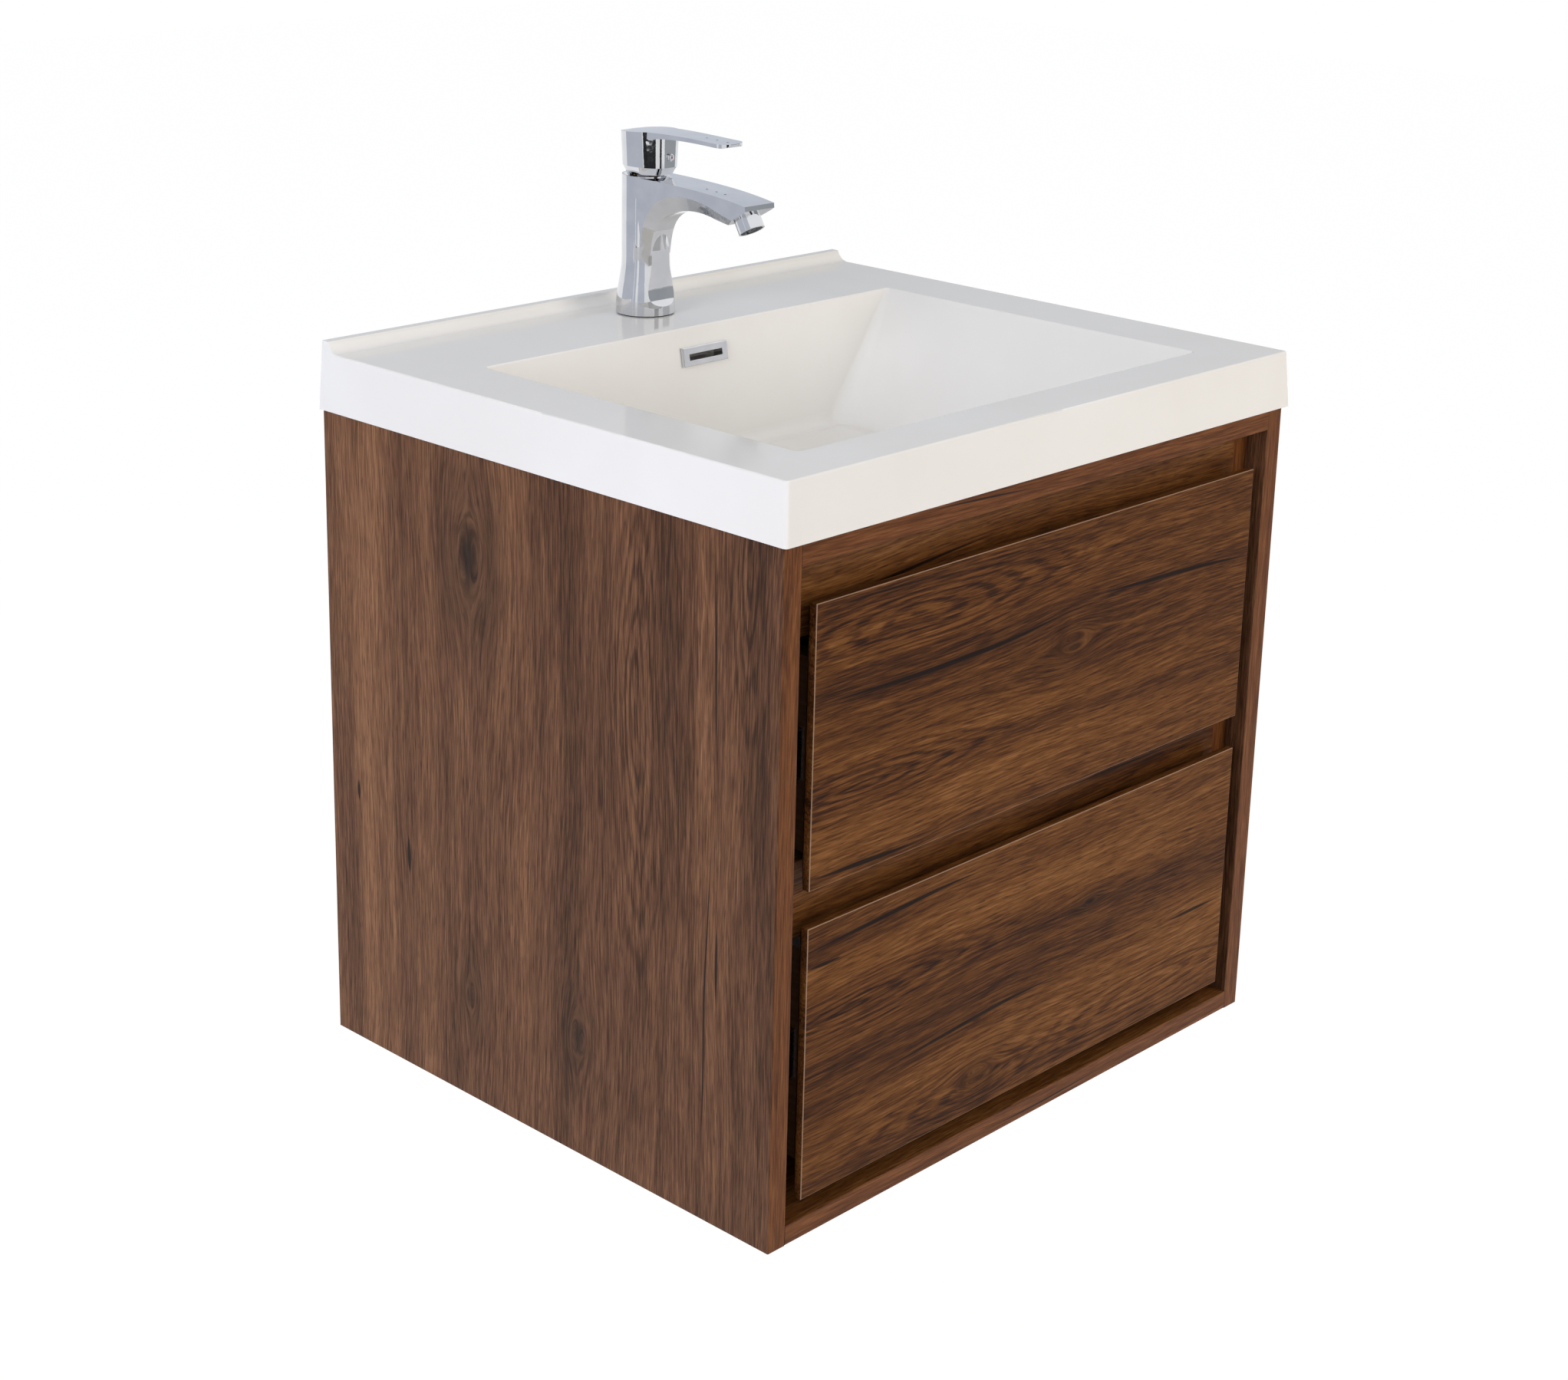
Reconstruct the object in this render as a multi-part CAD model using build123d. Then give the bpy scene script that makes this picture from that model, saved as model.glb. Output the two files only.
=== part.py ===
from build123d import *
import math
import os

os.makedirs("parts", exist_ok=True)

# A wall-hung bathroom vanity: a two-drawer cabinet, a moulded top with a
# rectangular basin, a pop-up waste and a single-lever mixer tap.
# Millimetres. X to the right, -Y out from the wall, Z up. The wall is Y = 0.
# The origin is on the wall, midway between the two upper wall fixings.

# ---------------------------------------------------------------- cabinet
CABINET_W = 592.0           # over the two side panels
CABINET_D = 505.0           # wall to the front edges
CABINET_H = 540.0           # underside to the top edges
FIXING_HEIGHT = 505.0       # upper wall fixings above the underside
BOARD = 18.0                # side panels, rails, fillers and drawer fronts
BOTTOM_BOARD = 16.0         # bottom panel
EDGE_ROUND = 0.8            # worn rounding of the visible board edges
TOP_RAIL_D = 38.0           # depth of the flat rail under the basin top
RECESS = 20.0               # finger recess, from the front plane to the recessed rails
RECESS_RAIL_H = 60.0        # height of each recessed rail
BACK_RAIL_H = 70.0          # height of the hanging rail and of the lower back rail
FIXING_SPACING = 400.0      # between the two wall fixings of one rail
FIXING_HOLE_R = 4.5
LOWER_FIXING_UP = 35.0      # lower fixings above the bottom panel
DOWEL_R = 4.0
DOWEL_CLEARANCE = 0.05
DOWEL_IN_FACE = 11.0        # dowel depth in the face of a board
DOWEL_IN_END = 19.0         # dowel depth in the end of a board
DOWEL_END_GAP = 0.5         # hole deeper than the dowel, at each end
BLOCK_L = 40.0              # corner blocks under the basin top

# ---------------------------------------------------------------- drawers
FRONT_SIDE_GAP = 16.0       # side panel to drawer front
FRONT_TOP_GAP = 30.0        # top rail to the upper front
FRONT_MIDDLE_GAP = 29.0     # between the two fronts
FRONT_BOTTOM_GAP = 15.0     # bottom panel to the lower front
UPPER_FRONT_H = 215.0
FRONT_LIP = 6.5             # thickness left at the edge by the bevel behind a front
FRONT_BACK_GAP = 2.0        # drawer front to the recessed rails
DRAWER_BOARD = 15.0
DRAWER_DEPTH = 400.0
DRAWER_BOTTOM = 6.0
GROOVE_DEPTH = 5.0
GROOVE_UP = 6.0             # bottom board above the lower edge of the sides
BOX_ABOVE_FRONT_FOOT = 20.0 # drawer box above the lower edge of its front
BOX_UNDER_RAIL = 11.0       # drawer box below the recessed rail above it
BOX_UNDER_BOSS = 2.0        # upper drawer box below the waste boss
CUTOUT_HALF_W = 75.0        # clear half width of the cut-out round the waste
CUTOUT_AHEAD = 55.0         # cut-out ahead of the waste's centre
BOTTOM_SLIP = 0.2           # drawer bottom in its grooves

# ------------------------------------------------------------ drawer slides
SLIDE_SPACE = 13.0          # filler panel to drawer side
SLIDE_L = 400.0
SLIDE_H = 45.0
SLIDE_METAL = 1.2
SLIDE_GAP = 0.3             # between the nested channels
SLIDE_SETBACK = 4.0         # slide behind the recessed rails
SLIDE_LIP = 8.0             # flange of each channel
SLIDE_SCREWS_AT = (35.0, 165.0, 355.0)
SCREW_R = 1.75
SCREW_HEAD_R = 3.2
SCREW_L = 13.0
SCREW_CLEARANCE = 0.05

# ---------------------------------------------------------------- basin top
TOP_OVER_SIDE = 4.0         # skirt beyond each side panel
TOP_OVER_FRONT = 5.0        # skirt beyond the front edges
SKIRT_H = 46.0
SKIRT_T = 30.0
SKIRT_DRAFT = 3.7           # the skirt leans in this much over its height
DECK_T = 14.0
LIP_H = 9.0                 # upstand along the wall
LIP_T = 7.5
LIP_FOOT = 17.0             # foot of the upstand's cove, from the wall
SIDE_RIM = 65.0             # outer face of the skirt to the basin's opening, at each side
BOWL_D = 334.0              # opening of the basin, front to back
BOWL_BACK = 124.0           # wall to the back edge of the opening
BOWL_DEPTH = 105.0          # to the edge of the basin floor
FLOOR_FALL = 10.0           # fall of the floor from its edge to the waste
BOWL_SIDE_LEAN = 80.0       # each end wall leans in this much
BOWL_BACK_LEAN = 18.0
BOWL_FRONT_LEAN = 30.0
BOWL_WALL = 12.0
BOWL_CORNER_R = 4.0         # upright corners, at the rim
BOWL_LOW_CORNER_R = 18.0    # and at the floor
BOWL_FOOT_R = 12.0          # walls into floor
RIM_R = 1.5                 # rim of the basin and upper edges of the skirt
SKIRT_CORNER_R = 3.0        # upright front corners of the skirt
FLOOR_FLAT = 16.0           # level margin of the floor inside its walls
WASTE_R = 22.3              # waste hole
WASTE_SEAT_R = 34.0
WASTE_SEAT_DEPTH = 3.0
WASTE_PAD = 70.0            # level square round the waste
BOSS_R = 40.0
BOSS_H = 24.0               # basin floor to the underside of the waste boss
OVERFLOW_W = 40.0
OVERFLOW_H = 7.0
OVERFLOW_DOWN = 24.0        # middle of the overflow slot below the rim
DUCT_GAP = 8.0              # inside of the overflow duct
DUCT_WALL = 6.0
DUCT_BELOW_FLOOR = 8.0
TRIM_W = 52.0
TRIM_H = 16.0
TRIM_T = 3.0
TRIM_BEVEL = 0.8
TRIM_CLEARANCE = 0.15
SLEEVE_L = 7.0              # sleeve of the trim inside the slot
SLEEVE_T = 0.7

# ------------------------------------------------------------- pop-up waste
FLANGE_R = 32.5
FLANGE_T = 2.0
SEAL_T = 1.0
WASTE_FIT = 0.5             # waste body in the hole of the boss
WASTE_WALL = 2.8
WASTE_BODY_L = 64.0
LOWER_SEAL_T = 3.0
WASTE_NUT_R = 33.0
WASTE_NUT_T = 9.0
TAIL_R = 15.9
TAIL_WALL = 1.2
TAIL_L = 80.0
TAIL_IN = 10.0              # tail inside the waste body
TAIL_STEP = 0.5             # the end screwed into the waste body is this much smaller
TAIL_RELIEF = 1.0           # turned down just below the waste body
PLUG_R = 30.0
PLUG_T = 3.5
PLUG_SEAT_GAP = 0.4
STEM_R = 4.0
STEM_L = 34.0
STEM_FIT = 0.1
GUIDE_R = 8.0
GUIDE_DOWN = 12.0           # guide below the flange
GUIDE_L = 26.0
SPIDER_T = 3.0

# ---------------------------------------------------------------------- tap
TAP_FROM_WALL = 57.5
TAP_HOLE_R = 17.5
TAP_BASE_R = 24.9
TAP_H = 118.0               # deck to the top of the body
TAP_WAIST_R = 20.4
TAP_TOP_R = 20.5
BASE_SEAL_T = 1.0
TAP_HOLLOW_R = 16.0         # hollow foot that takes the supply hoses
TAP_HOLLOW_H = 62.0
INLET_R = 5.0
INLET_L = 13.0
INLET_X = 7.5
INLET_FORWARD = 3.0
STUD_R = 4.0
STUD_BACK = 8.0
STUD_IN_BLOCK = 12.0
BLOCK_FIT = 0.05
STUD_BELOW_DECK = 42.0
CLAMP_SEAL_T = 2.5
CLAMP_PLATE_T = 2.0
CLAMP_OVERLAP = 5.0         # clamp beyond the tap hole
TAP_NUT_L = 14.0
TAP_NUT_R = 6.8             # over the corners
SPOUT_REACH = 132.0         # tap axis to the tip of the spout
AERATOR_TILT = 30.0         # outlet leans out from straight down
AERATOR_R = 11.2
AERATOR_L = 11.5
AERATOR_OUT = 118.3         # centre of the outlet seat, from the tap axis
AERATOR_UP = 97.0           # centre of the outlet seat, above the deck
BOSS_OVER_AERATOR = 1.6
CHAMBER_R = 12.8            # bore for the cartridge
CHAMBER_FOOT = 77.0
CARTRIDGE_R = 12.5
CARTRIDGE_TOP = 103.0
NUT_SEAT_R = 13.7
NUT_R = 13.5
NUT_TOP = 113.0
NUT_HOLE_R = 8.3
ROTOR_R = 11.0
ROTOR_NECK_R = 8.0
ROTOR_FOOT = 96.0
ROTOR_TOP = 131.0
PIVOT_H = 127.0             # tilt axis of the lever above the deck
SWEEP_R = 20.3              # sphere that the lever's lower end sweeps
DISH_CLEARANCE = 0.8
HEAD_FOOT = 119.6
HEAD_CHAMFER_TOP = 126.0
HEAD_FOOT_R = 16.8
HEAD_LOW_R = 20.1
HEAD_TOP_R = 21.8
HEAD_TOP = 158.0            # tallest the head is drawn before its top is cut
HEAD_FRONT = 28.5           # head ahead of the tap axis
LEVER_REACH = 103.5
LEVER_W = 29.0
LEVER_TIP_T = 3.0
BLADE_UNDER = 152.6         # the blade's underside along its middle, and where it meets the head
BLADE_ROOT = 150.4
POCKET_R = 16.2             # hollow under the lever's head
POCKET_TOP = 138.0
SPINDLE_SIDE = 7.0
SPINDLE_FOOT = 118.0
SPINDLE_TOP = 145.0
SOCKET_FIT = 0.1
PIN_R = 1.5
PIN_FIT = 0.05
SET_SCREW_R = 2.0
SET_SCREW_L = 8.0
INDICATOR_R = 3.4
INDICATOR_H = 134.7
INDICATOR_PROUD = 0.6
INSERT_R = 9.3              # mesh disc in the outlet
MESH_PITCH = 3.0
MESH_HOLE = 1.6
HOUSING_BORE_R = 9.4
HOUSING_NECK_R = 8.4        # threaded neck of the outlet, in the spout
HOUSING_NECK_BORE_R = 7.0
SPOUT_BORE_R = 4.5
SPOUT_BEND = 44.0           # bend of the bore, ahead of the tap axis
OUTLET_H = 90.5             # outlet of the cartridge above the deck
SPOUT_BEND_H = 102.5        # height of the water's way at its bend and above the aerator
SPOUT_END_H = 103.5
PANEL_FORWARD = 17.8        # flat on the column's front, ahead of the tap axis
HOSE_GAP_HALF_W = 13.5      # room for the two hoses in the clamp plate

# Top of the head and blade, as (forward, up)
CREST = [(-26, 152.5), (0, 154.9), (30, 156.3), (65, 156.2), (106, 154.9)]

# Curves under the spout: (forward, up), and (half width, forward, up) for its slanted flanks
SPOUT_ARCH = [(98, 91.6), (85, 94.2), (71, 95.8), (57, 95), (46, 92.5), (36, 88.3),
              (28.2, 82.7), (23.4, 76.4), (20.4, 69), (18.5, 60), (17.6, 52)]
FLANK_LOW = [(8, 124, 86), (9, 108, 88.6), (9, 98, 91.6), (9, 85, 94.2), (9, 71, 95.8),
             (9.2, 57, 95), (9.6, 46, 92.5), (10, 36, 88.3), (10.6, 28.2, 82.7),
             (11.2, 23.4, 76.4), (11.5, 20.4, 69), (11.5, 18.5, 60), (11.4, 17.6, 52), (11.3, 17, 44)]
FLANK_HIGH = [(19, 128, 97), (19.5, 112, 101), (20, 101, 104.5), (20.3, 87, 108.8),
              (20.5, 73, 111), (20.8, 58, 111.6), (21.2, 42, 109.5), (21.7, 30, 105),
              (22.2, 20, 98), (22.6, 13, 89), (22.7, 8.5, 78), (22.6, 5.5, 66), (22.4, 3, 55), (22, 1, 44)]

# ------------------------------------------------------------ derived sizes
BOTTOM = -FIXING_HEIGHT
TOP = BOTTOM + CABINET_H
DECK = TOP + SKIRT_H
HALF_W = CABINET_W / 2
INNER_HALF = HALF_W - BOARD
FRONT = -CABINET_D
RECESS_Y = FRONT + RECESS
RECESS_BACK = RECESS_Y + BOARD
FLOOR_Z = BOTTOM + BOTTOM_BOARD
RAIL_UNDER = TOP - BOARD
FILLER_FACE = INNER_HALF - BOARD
LOWER_FIXING_Z = FLOOR_Z + LOWER_FIXING_UP

FRONT_HALF = INNER_HALF - FRONT_SIDE_GAP
UPPER_FRONT_TOP = RAIL_UNDER - FRONT_TOP_GAP
UPPER_FRONT_FOOT = UPPER_FRONT_TOP - UPPER_FRONT_H
LOWER_FRONT_TOP = UPPER_FRONT_FOOT - FRONT_MIDDLE_GAP
LOWER_FRONT_FOOT = FLOOR_Z + FRONT_BOTTOM_GAP
FRONT_BACK = RECESS_Y - FRONT_BACK_GAP
UPPER_RAIL_FOOT = RAIL_UNDER - RECESS_RAIL_H
MIDDLE_RAIL_MID = (UPPER_FRONT_FOOT + LOWER_FRONT_TOP) / 2
MIDDLE_RAIL_FOOT = MIDDLE_RAIL_MID - RECESS_RAIL_H / 2

BOX_HALF = FILLER_FACE - SLIDE_SPACE
BOX_INNER = BOX_HALF - DRAWER_BOARD
BOX_BACK = FRONT_BACK + DRAWER_DEPTH
UPPER_BOX_FOOT = UPPER_FRONT_FOOT + BOX_ABOVE_FRONT_FOOT
LOWER_BOX_FOOT = LOWER_FRONT_FOOT + BOX_ABOVE_FRONT_FOOT
LOWER_BOX_TOP = MIDDLE_RAIL_FOOT - BOX_UNDER_RAIL
SLIDE_FRONT = RECESS_Y + SLIDE_SETBACK

BOWL_W = CABINET_W + 2 * TOP_OVER_SIDE - 2 * SIDE_RIM
BOWL_FRONT = BOWL_BACK + BOWL_D
WASTE_Y = -(BOWL_BACK + BOWL_FRONT) / 2
FLOOR_EDGE_Z = DECK - BOWL_DEPTH
BASIN_FLOOR = FLOOR_EDGE_Z - FLOOR_FALL
BOSS_FOOT = BASIN_FLOOR - BOSS_H
DUCT_Z = BASIN_FLOOR - DUCT_BELOW_FLOOR
DUCT_BACK = -BOWL_BACK + BOWL_WALL + DUCT_GAP
UPPER_BOX_TOP = min(UPPER_RAIL_FOOT - BOX_UNDER_RAIL, BOSS_FOOT - BOX_UNDER_BOSS)
UPPER_BOX_MID = (UPPER_BOX_FOOT + UPPER_BOX_TOP) / 2
LOWER_BOX_MID = (LOWER_BOX_FOOT + LOWER_BOX_TOP) / 2
CUTOUT_Y = WASTE_Y - CUTOUT_AHEAD

FLANGE_TOP = BASIN_FLOOR - WASTE_SEAT_DEPTH + SEAL_T + FLANGE_T
WASTE_BODY_R = WASTE_R - WASTE_FIT
WASTE_BORE_R = WASTE_BODY_R - WASTE_WALL
WASTE_FOOT = FLANGE_TOP - WASTE_BODY_L
TAIL_FOOT = WASTE_FOOT + TAIL_IN - TAIL_L
TAIL_SPIGOT_R = TAIL_R - TAIL_STEP
SEAL_OVER_NUT = BOSS_FOOT - LOWER_SEAL_T
PLUG_FOOT = FLANGE_TOP + PLUG_SEAT_GAP
GUIDE_TOP = FLANGE_TOP - GUIDE_DOWN

AERATOR_SIN = math.sin(math.radians(AERATOR_TILT))
AERATOR_COS = math.cos(math.radians(AERATOR_TILT))
SET_SCREW_H = (POCKET_TOP + SPINDLE_TOP) / 2
STUD_Y = -TAP_FROM_WALL + STUD_BACK
DECK_UNDER = DECK - DECK_T
CLAMP_FOOT = DECK_UNDER - CLAMP_SEAL_T - CLAMP_PLATE_T


# ------------------------------------------------------------------ helpers
def block(x0, x1, y0, y1, z0, z1):
    return Pos((x0 + x1) / 2, (y0 + y1) / 2, (z0 + z1) / 2) * Box(x1 - x0, y1 - y0, z1 - z0)


def upright(radius, z0, z1, x=0.0, y=0.0):
    return Pos(x, y, (z0 + z1) / 2) * Cylinder(radius, z1 - z0)


def rod(radius, start, end):
    """A round bar between two points."""
    start, end = Vector(*start), Vector(*end)
    plane = Plane(origin=start, z_dir=(end - start).normalized())
    return plane * Pos(0, 0, (end - start).length / 2) * Cylinder(radius, (end - start).length)


def ring(outer, inner, z0, z1, x=0.0, y=0.0):
    return upright(outer, z0, z1, x, y) - upright(inner, z0 - 1, z1 + 1, x, y)


def mirrored(shape):
    return mirror(shape, about=Plane.YZ)


def rounded(board, axis, y):
    """Rounds the board's edges that run along an axis on its front plane."""
    edges = [e for e in board.edges().filter_by(axis) if abs(e.center().Y - y) < 0.01]
    return fillet(edges, EDGE_ROUND)


def level_edges(body, z):
    """Edges that lie flat at a height."""
    boxes = [(e, e.bounding_box()) for e in body.edges()]
    return [e for e, box in boxes if abs(box.min.Z - z) < 0.01 and abs(box.max.Z - z) < 0.01]


def between(low, high, count):
    """Evenly spaced places between two values, the ends left out."""
    return [low + (high - low) * (i + 1) / (count + 1) for i in range(count)]


# ------------------------------------------------------------------- dowels
def dowel(face_at, direction, shrink=0.0, longer=0.0):
    """A dowel across a joint: its short end in the face of one board and its
    long end in the end of the next. direction points into the end."""
    at = Vector(*face_at)
    way = Vector(*direction)
    start = at - way * (DOWEL_IN_FACE + longer)
    end = at + way * (DOWEL_IN_END + longer)
    return rod(DOWEL_R - shrink, start, end)


def cabinet_dowel_places():
    """Joint points on the right-hand side, each with the way into the board's end."""
    places = []
    for y in between(RECESS_Y, -BOARD, 3):
        places.append(((INNER_HALF, y, BOTTOM + BOTTOM_BOARD / 2), (-1, 0, 0)))
    places.append(((INNER_HALF, FRONT + TOP_RAIL_D / 2, TOP - BOARD / 2), (-1, 0, 0)))
    for z in between(TOP - BACK_RAIL_H, TOP, 2):
        places.append(((INNER_HALF, -BOARD / 2, z), (-1, 0, 0)))
    for z in between(FLOOR_Z, FLOOR_Z + BACK_RAIL_H, 2):
        places.append(((INNER_HALF, -BOARD / 2, z), (-1, 0, 0)))
    for foot in (UPPER_RAIL_FOOT, MIDDLE_RAIL_FOOT):
        for z in between(foot, foot + RECESS_RAIL_H, 2):
            places.append(((FILLER_FACE, RECESS_Y + BOARD / 2, z), (-1, 0, 0)))
    return places


def drill(board, places):
    """Dowel holes for the joints that touch this board, on both sides of the cabinet."""
    for at, way in places:
        hole = dowel(at, way, longer=DOWEL_END_GAP)
        for tool in (hole, mirrored(hole)):
            board = board - tool
    return board


def cabinet_dowels():
    pegs = [dowel(at, way, shrink=DOWEL_CLEARANCE) for at, way in cabinet_dowel_places()]
    return Compound(children=pegs + [mirrored(p) for p in pegs])


# ------------------------------------------------------------------ cabinet
def side_panel():
    panel = block(INNER_HALF, HALF_W, FRONT, 0, BOTTOM, TOP)
    return drill(rounded(panel, Axis.Z, FRONT), cabinet_dowel_places())


def bottom_panel():
    panel = block(-INNER_HALF, INNER_HALF, FRONT, 0, BOTTOM, FLOOR_Z)
    return drill(rounded(panel, Axis.X, FRONT), cabinet_dowel_places())


def top_front_rail():
    rail = block(-INNER_HALF, INNER_HALF, FRONT, FRONT + TOP_RAIL_D, RAIL_UNDER, TOP)
    return drill(rounded(rail, Axis.X, FRONT), cabinet_dowel_places())


def recess_rail(foot):
    rail = block(-FILLER_FACE, FILLER_FACE, RECESS_Y, RECESS_BACK, foot, foot + RECESS_RAIL_H)
    return drill(rail, cabinet_dowel_places())


def filler_panel():
    panel = block(FILLER_FACE, INNER_HALF, RECESS_Y, -BOARD, FLOOR_Z, RAIL_UNDER)
    panel = drill(panel, cabinet_dowel_places())
    for mid_z in (UPPER_BOX_MID, LOWER_BOX_MID):
        for y in slide_screw_places():
            panel = panel - slide_screw(FILLER_FACE, y, mid_z, 1, SCREW_CLEARANCE)
    return panel


def back_rail(foot, fixing_z):
    rail = block(-INNER_HALF, INNER_HALF, -BOARD, 0, foot, foot + BACK_RAIL_H)
    rail = drill(rail, cabinet_dowel_places())
    for x in (-FIXING_SPACING / 2, FIXING_SPACING / 2):
        rail = rail - rod(FIXING_HOLE_R, (x, -BOARD - 1, fixing_z), (x, 1, fixing_z))
    return rail


def corner_blocks():
    """Glued blocks on the filler panels, which carry the basin top's skirt."""
    blocks = []
    for y in (RECESS_BACK + BLOCK_L, -BOARD - 2 * BLOCK_L):
        one = block(FILLER_FACE, INNER_HALF, y, y + BLOCK_L, RAIL_UNDER, TOP)
        blocks += [one, mirrored(one)]
    return Compound(children=blocks)


def countersunk(head_at, way, length, clearance=0.0):
    """A countersunk screw, or the hole for one. way points from head to tip."""
    plane = Plane(origin=head_at, z_dir=way)
    head_h = SCREW_HEAD_R - SCREW_R
    shank = Pos(0, 0, length / 2) * Cylinder(SCREW_R + clearance, length + 2 * clearance)
    head = Pos(0, 0, head_h / 2) * Cone(SCREW_HEAD_R + clearance, SCREW_R + clearance, head_h)
    return plane * (shank + head)


# ------------------------------------------------------------ drawer slides
def slide_screw_places():
    return [SLIDE_FRONT + at for at in SLIDE_SCREWS_AT]


def slide_screw(x, y, z, way, clearance=0.0):
    """A screw through a slide's web: way is 1 into the filler, -1 into the drawer side."""
    head = x - SLIDE_METAL * way
    return countersunk((head, y, z), (way, 0, 0), SCREW_L, clearance)


def channel(web_x, way, half_h, mid_z, lip):
    """A C-shaped rail. way points from the web to the open side."""
    y0, y1 = SLIDE_FRONT, SLIDE_FRONT + SLIDE_L
    inner = web_x + way * SLIDE_METAL
    outer = web_x + way * lip
    rail = block(min(web_x, inner), max(web_x, inner), y0, y1, mid_z - half_h, mid_z + half_h)
    for z in (mid_z - half_h, mid_z + half_h - SLIDE_METAL):
        rail = rail + block(min(web_x, outer), max(web_x, outer), y0, y1, z, z + SLIDE_METAL)
    return rail


def pair(shape):
    return Compound(children=[shape, mirrored(shape)])


def slide_cabinet_rail(mid_z):
    rail = channel(FILLER_FACE, -1, SLIDE_H / 2, mid_z, SLIDE_LIP)
    for y in slide_screw_places():
        rail = rail - slide_screw(FILLER_FACE, y, mid_z, 1, SCREW_CLEARANCE)
    return rail


def slide_middle_rail(mid_z):
    half_h = SLIDE_H / 2 - SLIDE_METAL - SLIDE_GAP
    return channel(FILLER_FACE - SLIDE_METAL - SLIDE_GAP, -1, half_h, mid_z, SLIDE_LIP)


def slide_drawer_rail(mid_z):
    half_h = SLIDE_H / 2 - 2 * (SLIDE_METAL + SLIDE_GAP)
    rail = channel(BOX_HALF, 1, half_h, mid_z, SLIDE_LIP)
    for y in slide_screw_places():
        rail = rail - slide_screw(BOX_HALF, y, mid_z, -1, SCREW_CLEARANCE)
    return rail


def slide_screws():
    screws = []
    for mid_z in (UPPER_BOX_MID, LOWER_BOX_MID):
        for y in slide_screw_places():
            one = slide_screw(FILLER_FACE, y, mid_z, 1)
            screws += [one, mirrored(one)]
    return Compound(children=screws)


def drawer_screws(mid_z):
    screws = []
    for y in slide_screw_places():
        one = slide_screw(BOX_HALF, y, mid_z, -1)
        screws += [one, mirrored(one)]
    return Compound(children=screws)


# ------------------------------------------------------------------ drawers
def drawer_front(foot, top):
    """A board with rounded front edges, bevelled behind so that fingers reach round its lip."""
    front = block(-FRONT_HALF, FRONT_HALF, FRONT, FRONT_BACK, foot, top)
    behind = [e for e in front.edges() if abs(e.center().Y - FRONT_BACK) < 0.01]
    front = chamfer(behind, BOARD - FRONT_LIP)
    ahead = [e for e in front.edges() if abs(e.center().Y - FRONT) < 0.01]
    return fillet(ahead, EDGE_ROUND)


def side_dowel_places(foot, top):
    """Dowels from the right drawer side into the front."""
    x = BOX_HALF - DRAWER_BOARD / 2
    return [((x, FRONT_BACK, z), (0, 1, 0)) for z in between(foot, top, 2)]


def drawer_side(foot, top):
    side = block(BOX_INNER, BOX_HALF, FRONT_BACK, BOX_BACK, foot, top)
    groove_z = foot + GROOVE_UP
    groove = block(BOX_INNER - 1, BOX_INNER + GROOVE_DEPTH, FRONT_BACK - 1, BOX_BACK + 1,
                   groove_z, groove_z + DRAWER_BOTTOM)
    side = drill(side - groove, side_dowel_places(foot, top))
    for y in slide_screw_places():
        side = side - slide_screw(BOX_HALF, y, (foot + top) / 2, -1, SCREW_CLEARANCE)
    return side


def drawer_dowels(foot, top):
    pegs = [dowel(at, way, shrink=DOWEL_CLEARANCE) for at, way in side_dowel_places(foot, top)]
    return Compound(children=pegs + [mirrored(p) for p in pegs])


def drawer_bottom(foot):
    """The bottom board stands in the side grooves and runs under the back."""
    z0 = foot + GROOVE_UP + BOTTOM_SLIP / 2
    z1 = foot + GROOVE_UP + DRAWER_BOTTOM - BOTTOM_SLIP / 2
    half = BOX_INNER + GROOVE_DEPTH - BOTTOM_SLIP
    return block(-half, half, FRONT_BACK, BOX_BACK, z0, z1)


def wall_foot(box_foot):
    return box_foot + GROOVE_UP + DRAWER_BOTTOM


def upper_drawer_bottom():
    board = drawer_bottom(UPPER_BOX_FOOT)
    cut = block(-CUTOUT_HALF_W, CUTOUT_HALF_W, CUTOUT_Y, BOX_BACK + 1,
                UPPER_BOX_FOOT, UPPER_BOX_TOP)
    return board - cut


def cutout_side():
    return block(CUTOUT_HALF_W, CUTOUT_HALF_W + DRAWER_BOARD, CUTOUT_Y, BOX_BACK,
                 wall_foot(UPPER_BOX_FOOT), UPPER_BOX_TOP)


def cutout_front():
    half = CUTOUT_HALF_W + DRAWER_BOARD
    return block(-half, half, CUTOUT_Y - DRAWER_BOARD, CUTOUT_Y,
                 wall_foot(UPPER_BOX_FOOT), UPPER_BOX_TOP)


def upper_back_panel():
    return block(CUTOUT_HALF_W + DRAWER_BOARD, BOX_INNER, BOX_BACK - DRAWER_BOARD, BOX_BACK,
                 wall_foot(UPPER_BOX_FOOT), UPPER_BOX_TOP)


def lower_back_panel():
    return block(-BOX_INNER, BOX_INNER, BOX_BACK - DRAWER_BOARD, BOX_BACK,
                 wall_foot(LOWER_BOX_FOOT), LOWER_BOX_TOP)


# ---------------------------------------------------------------- basin top
def plan_box(half_w, y_front, y_back, z, corner_r=0.0):
    """A level rectangle at a height, for a loft."""
    width, depth = 2 * half_w, y_back - y_front
    outline = RectangleRounded(width, depth, corner_r) if corner_r else Rectangle(width, depth)
    return Pos(0, (y_front + y_back) / 2, z) * outline


def drafted(z0, z1):
    """A slice of the drafted outside of the top, upright along the wall."""
    half = HALF_W + TOP_OVER_SIDE
    front = FRONT - TOP_OVER_FRONT
    plans = []
    for z in (z0, z1):
        lean = SKIRT_DRAFT * (z - TOP) / SKIRT_H
        plans.append(plan_box(half - lean, front + lean, 0, z))
    return loft(plans)


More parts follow.
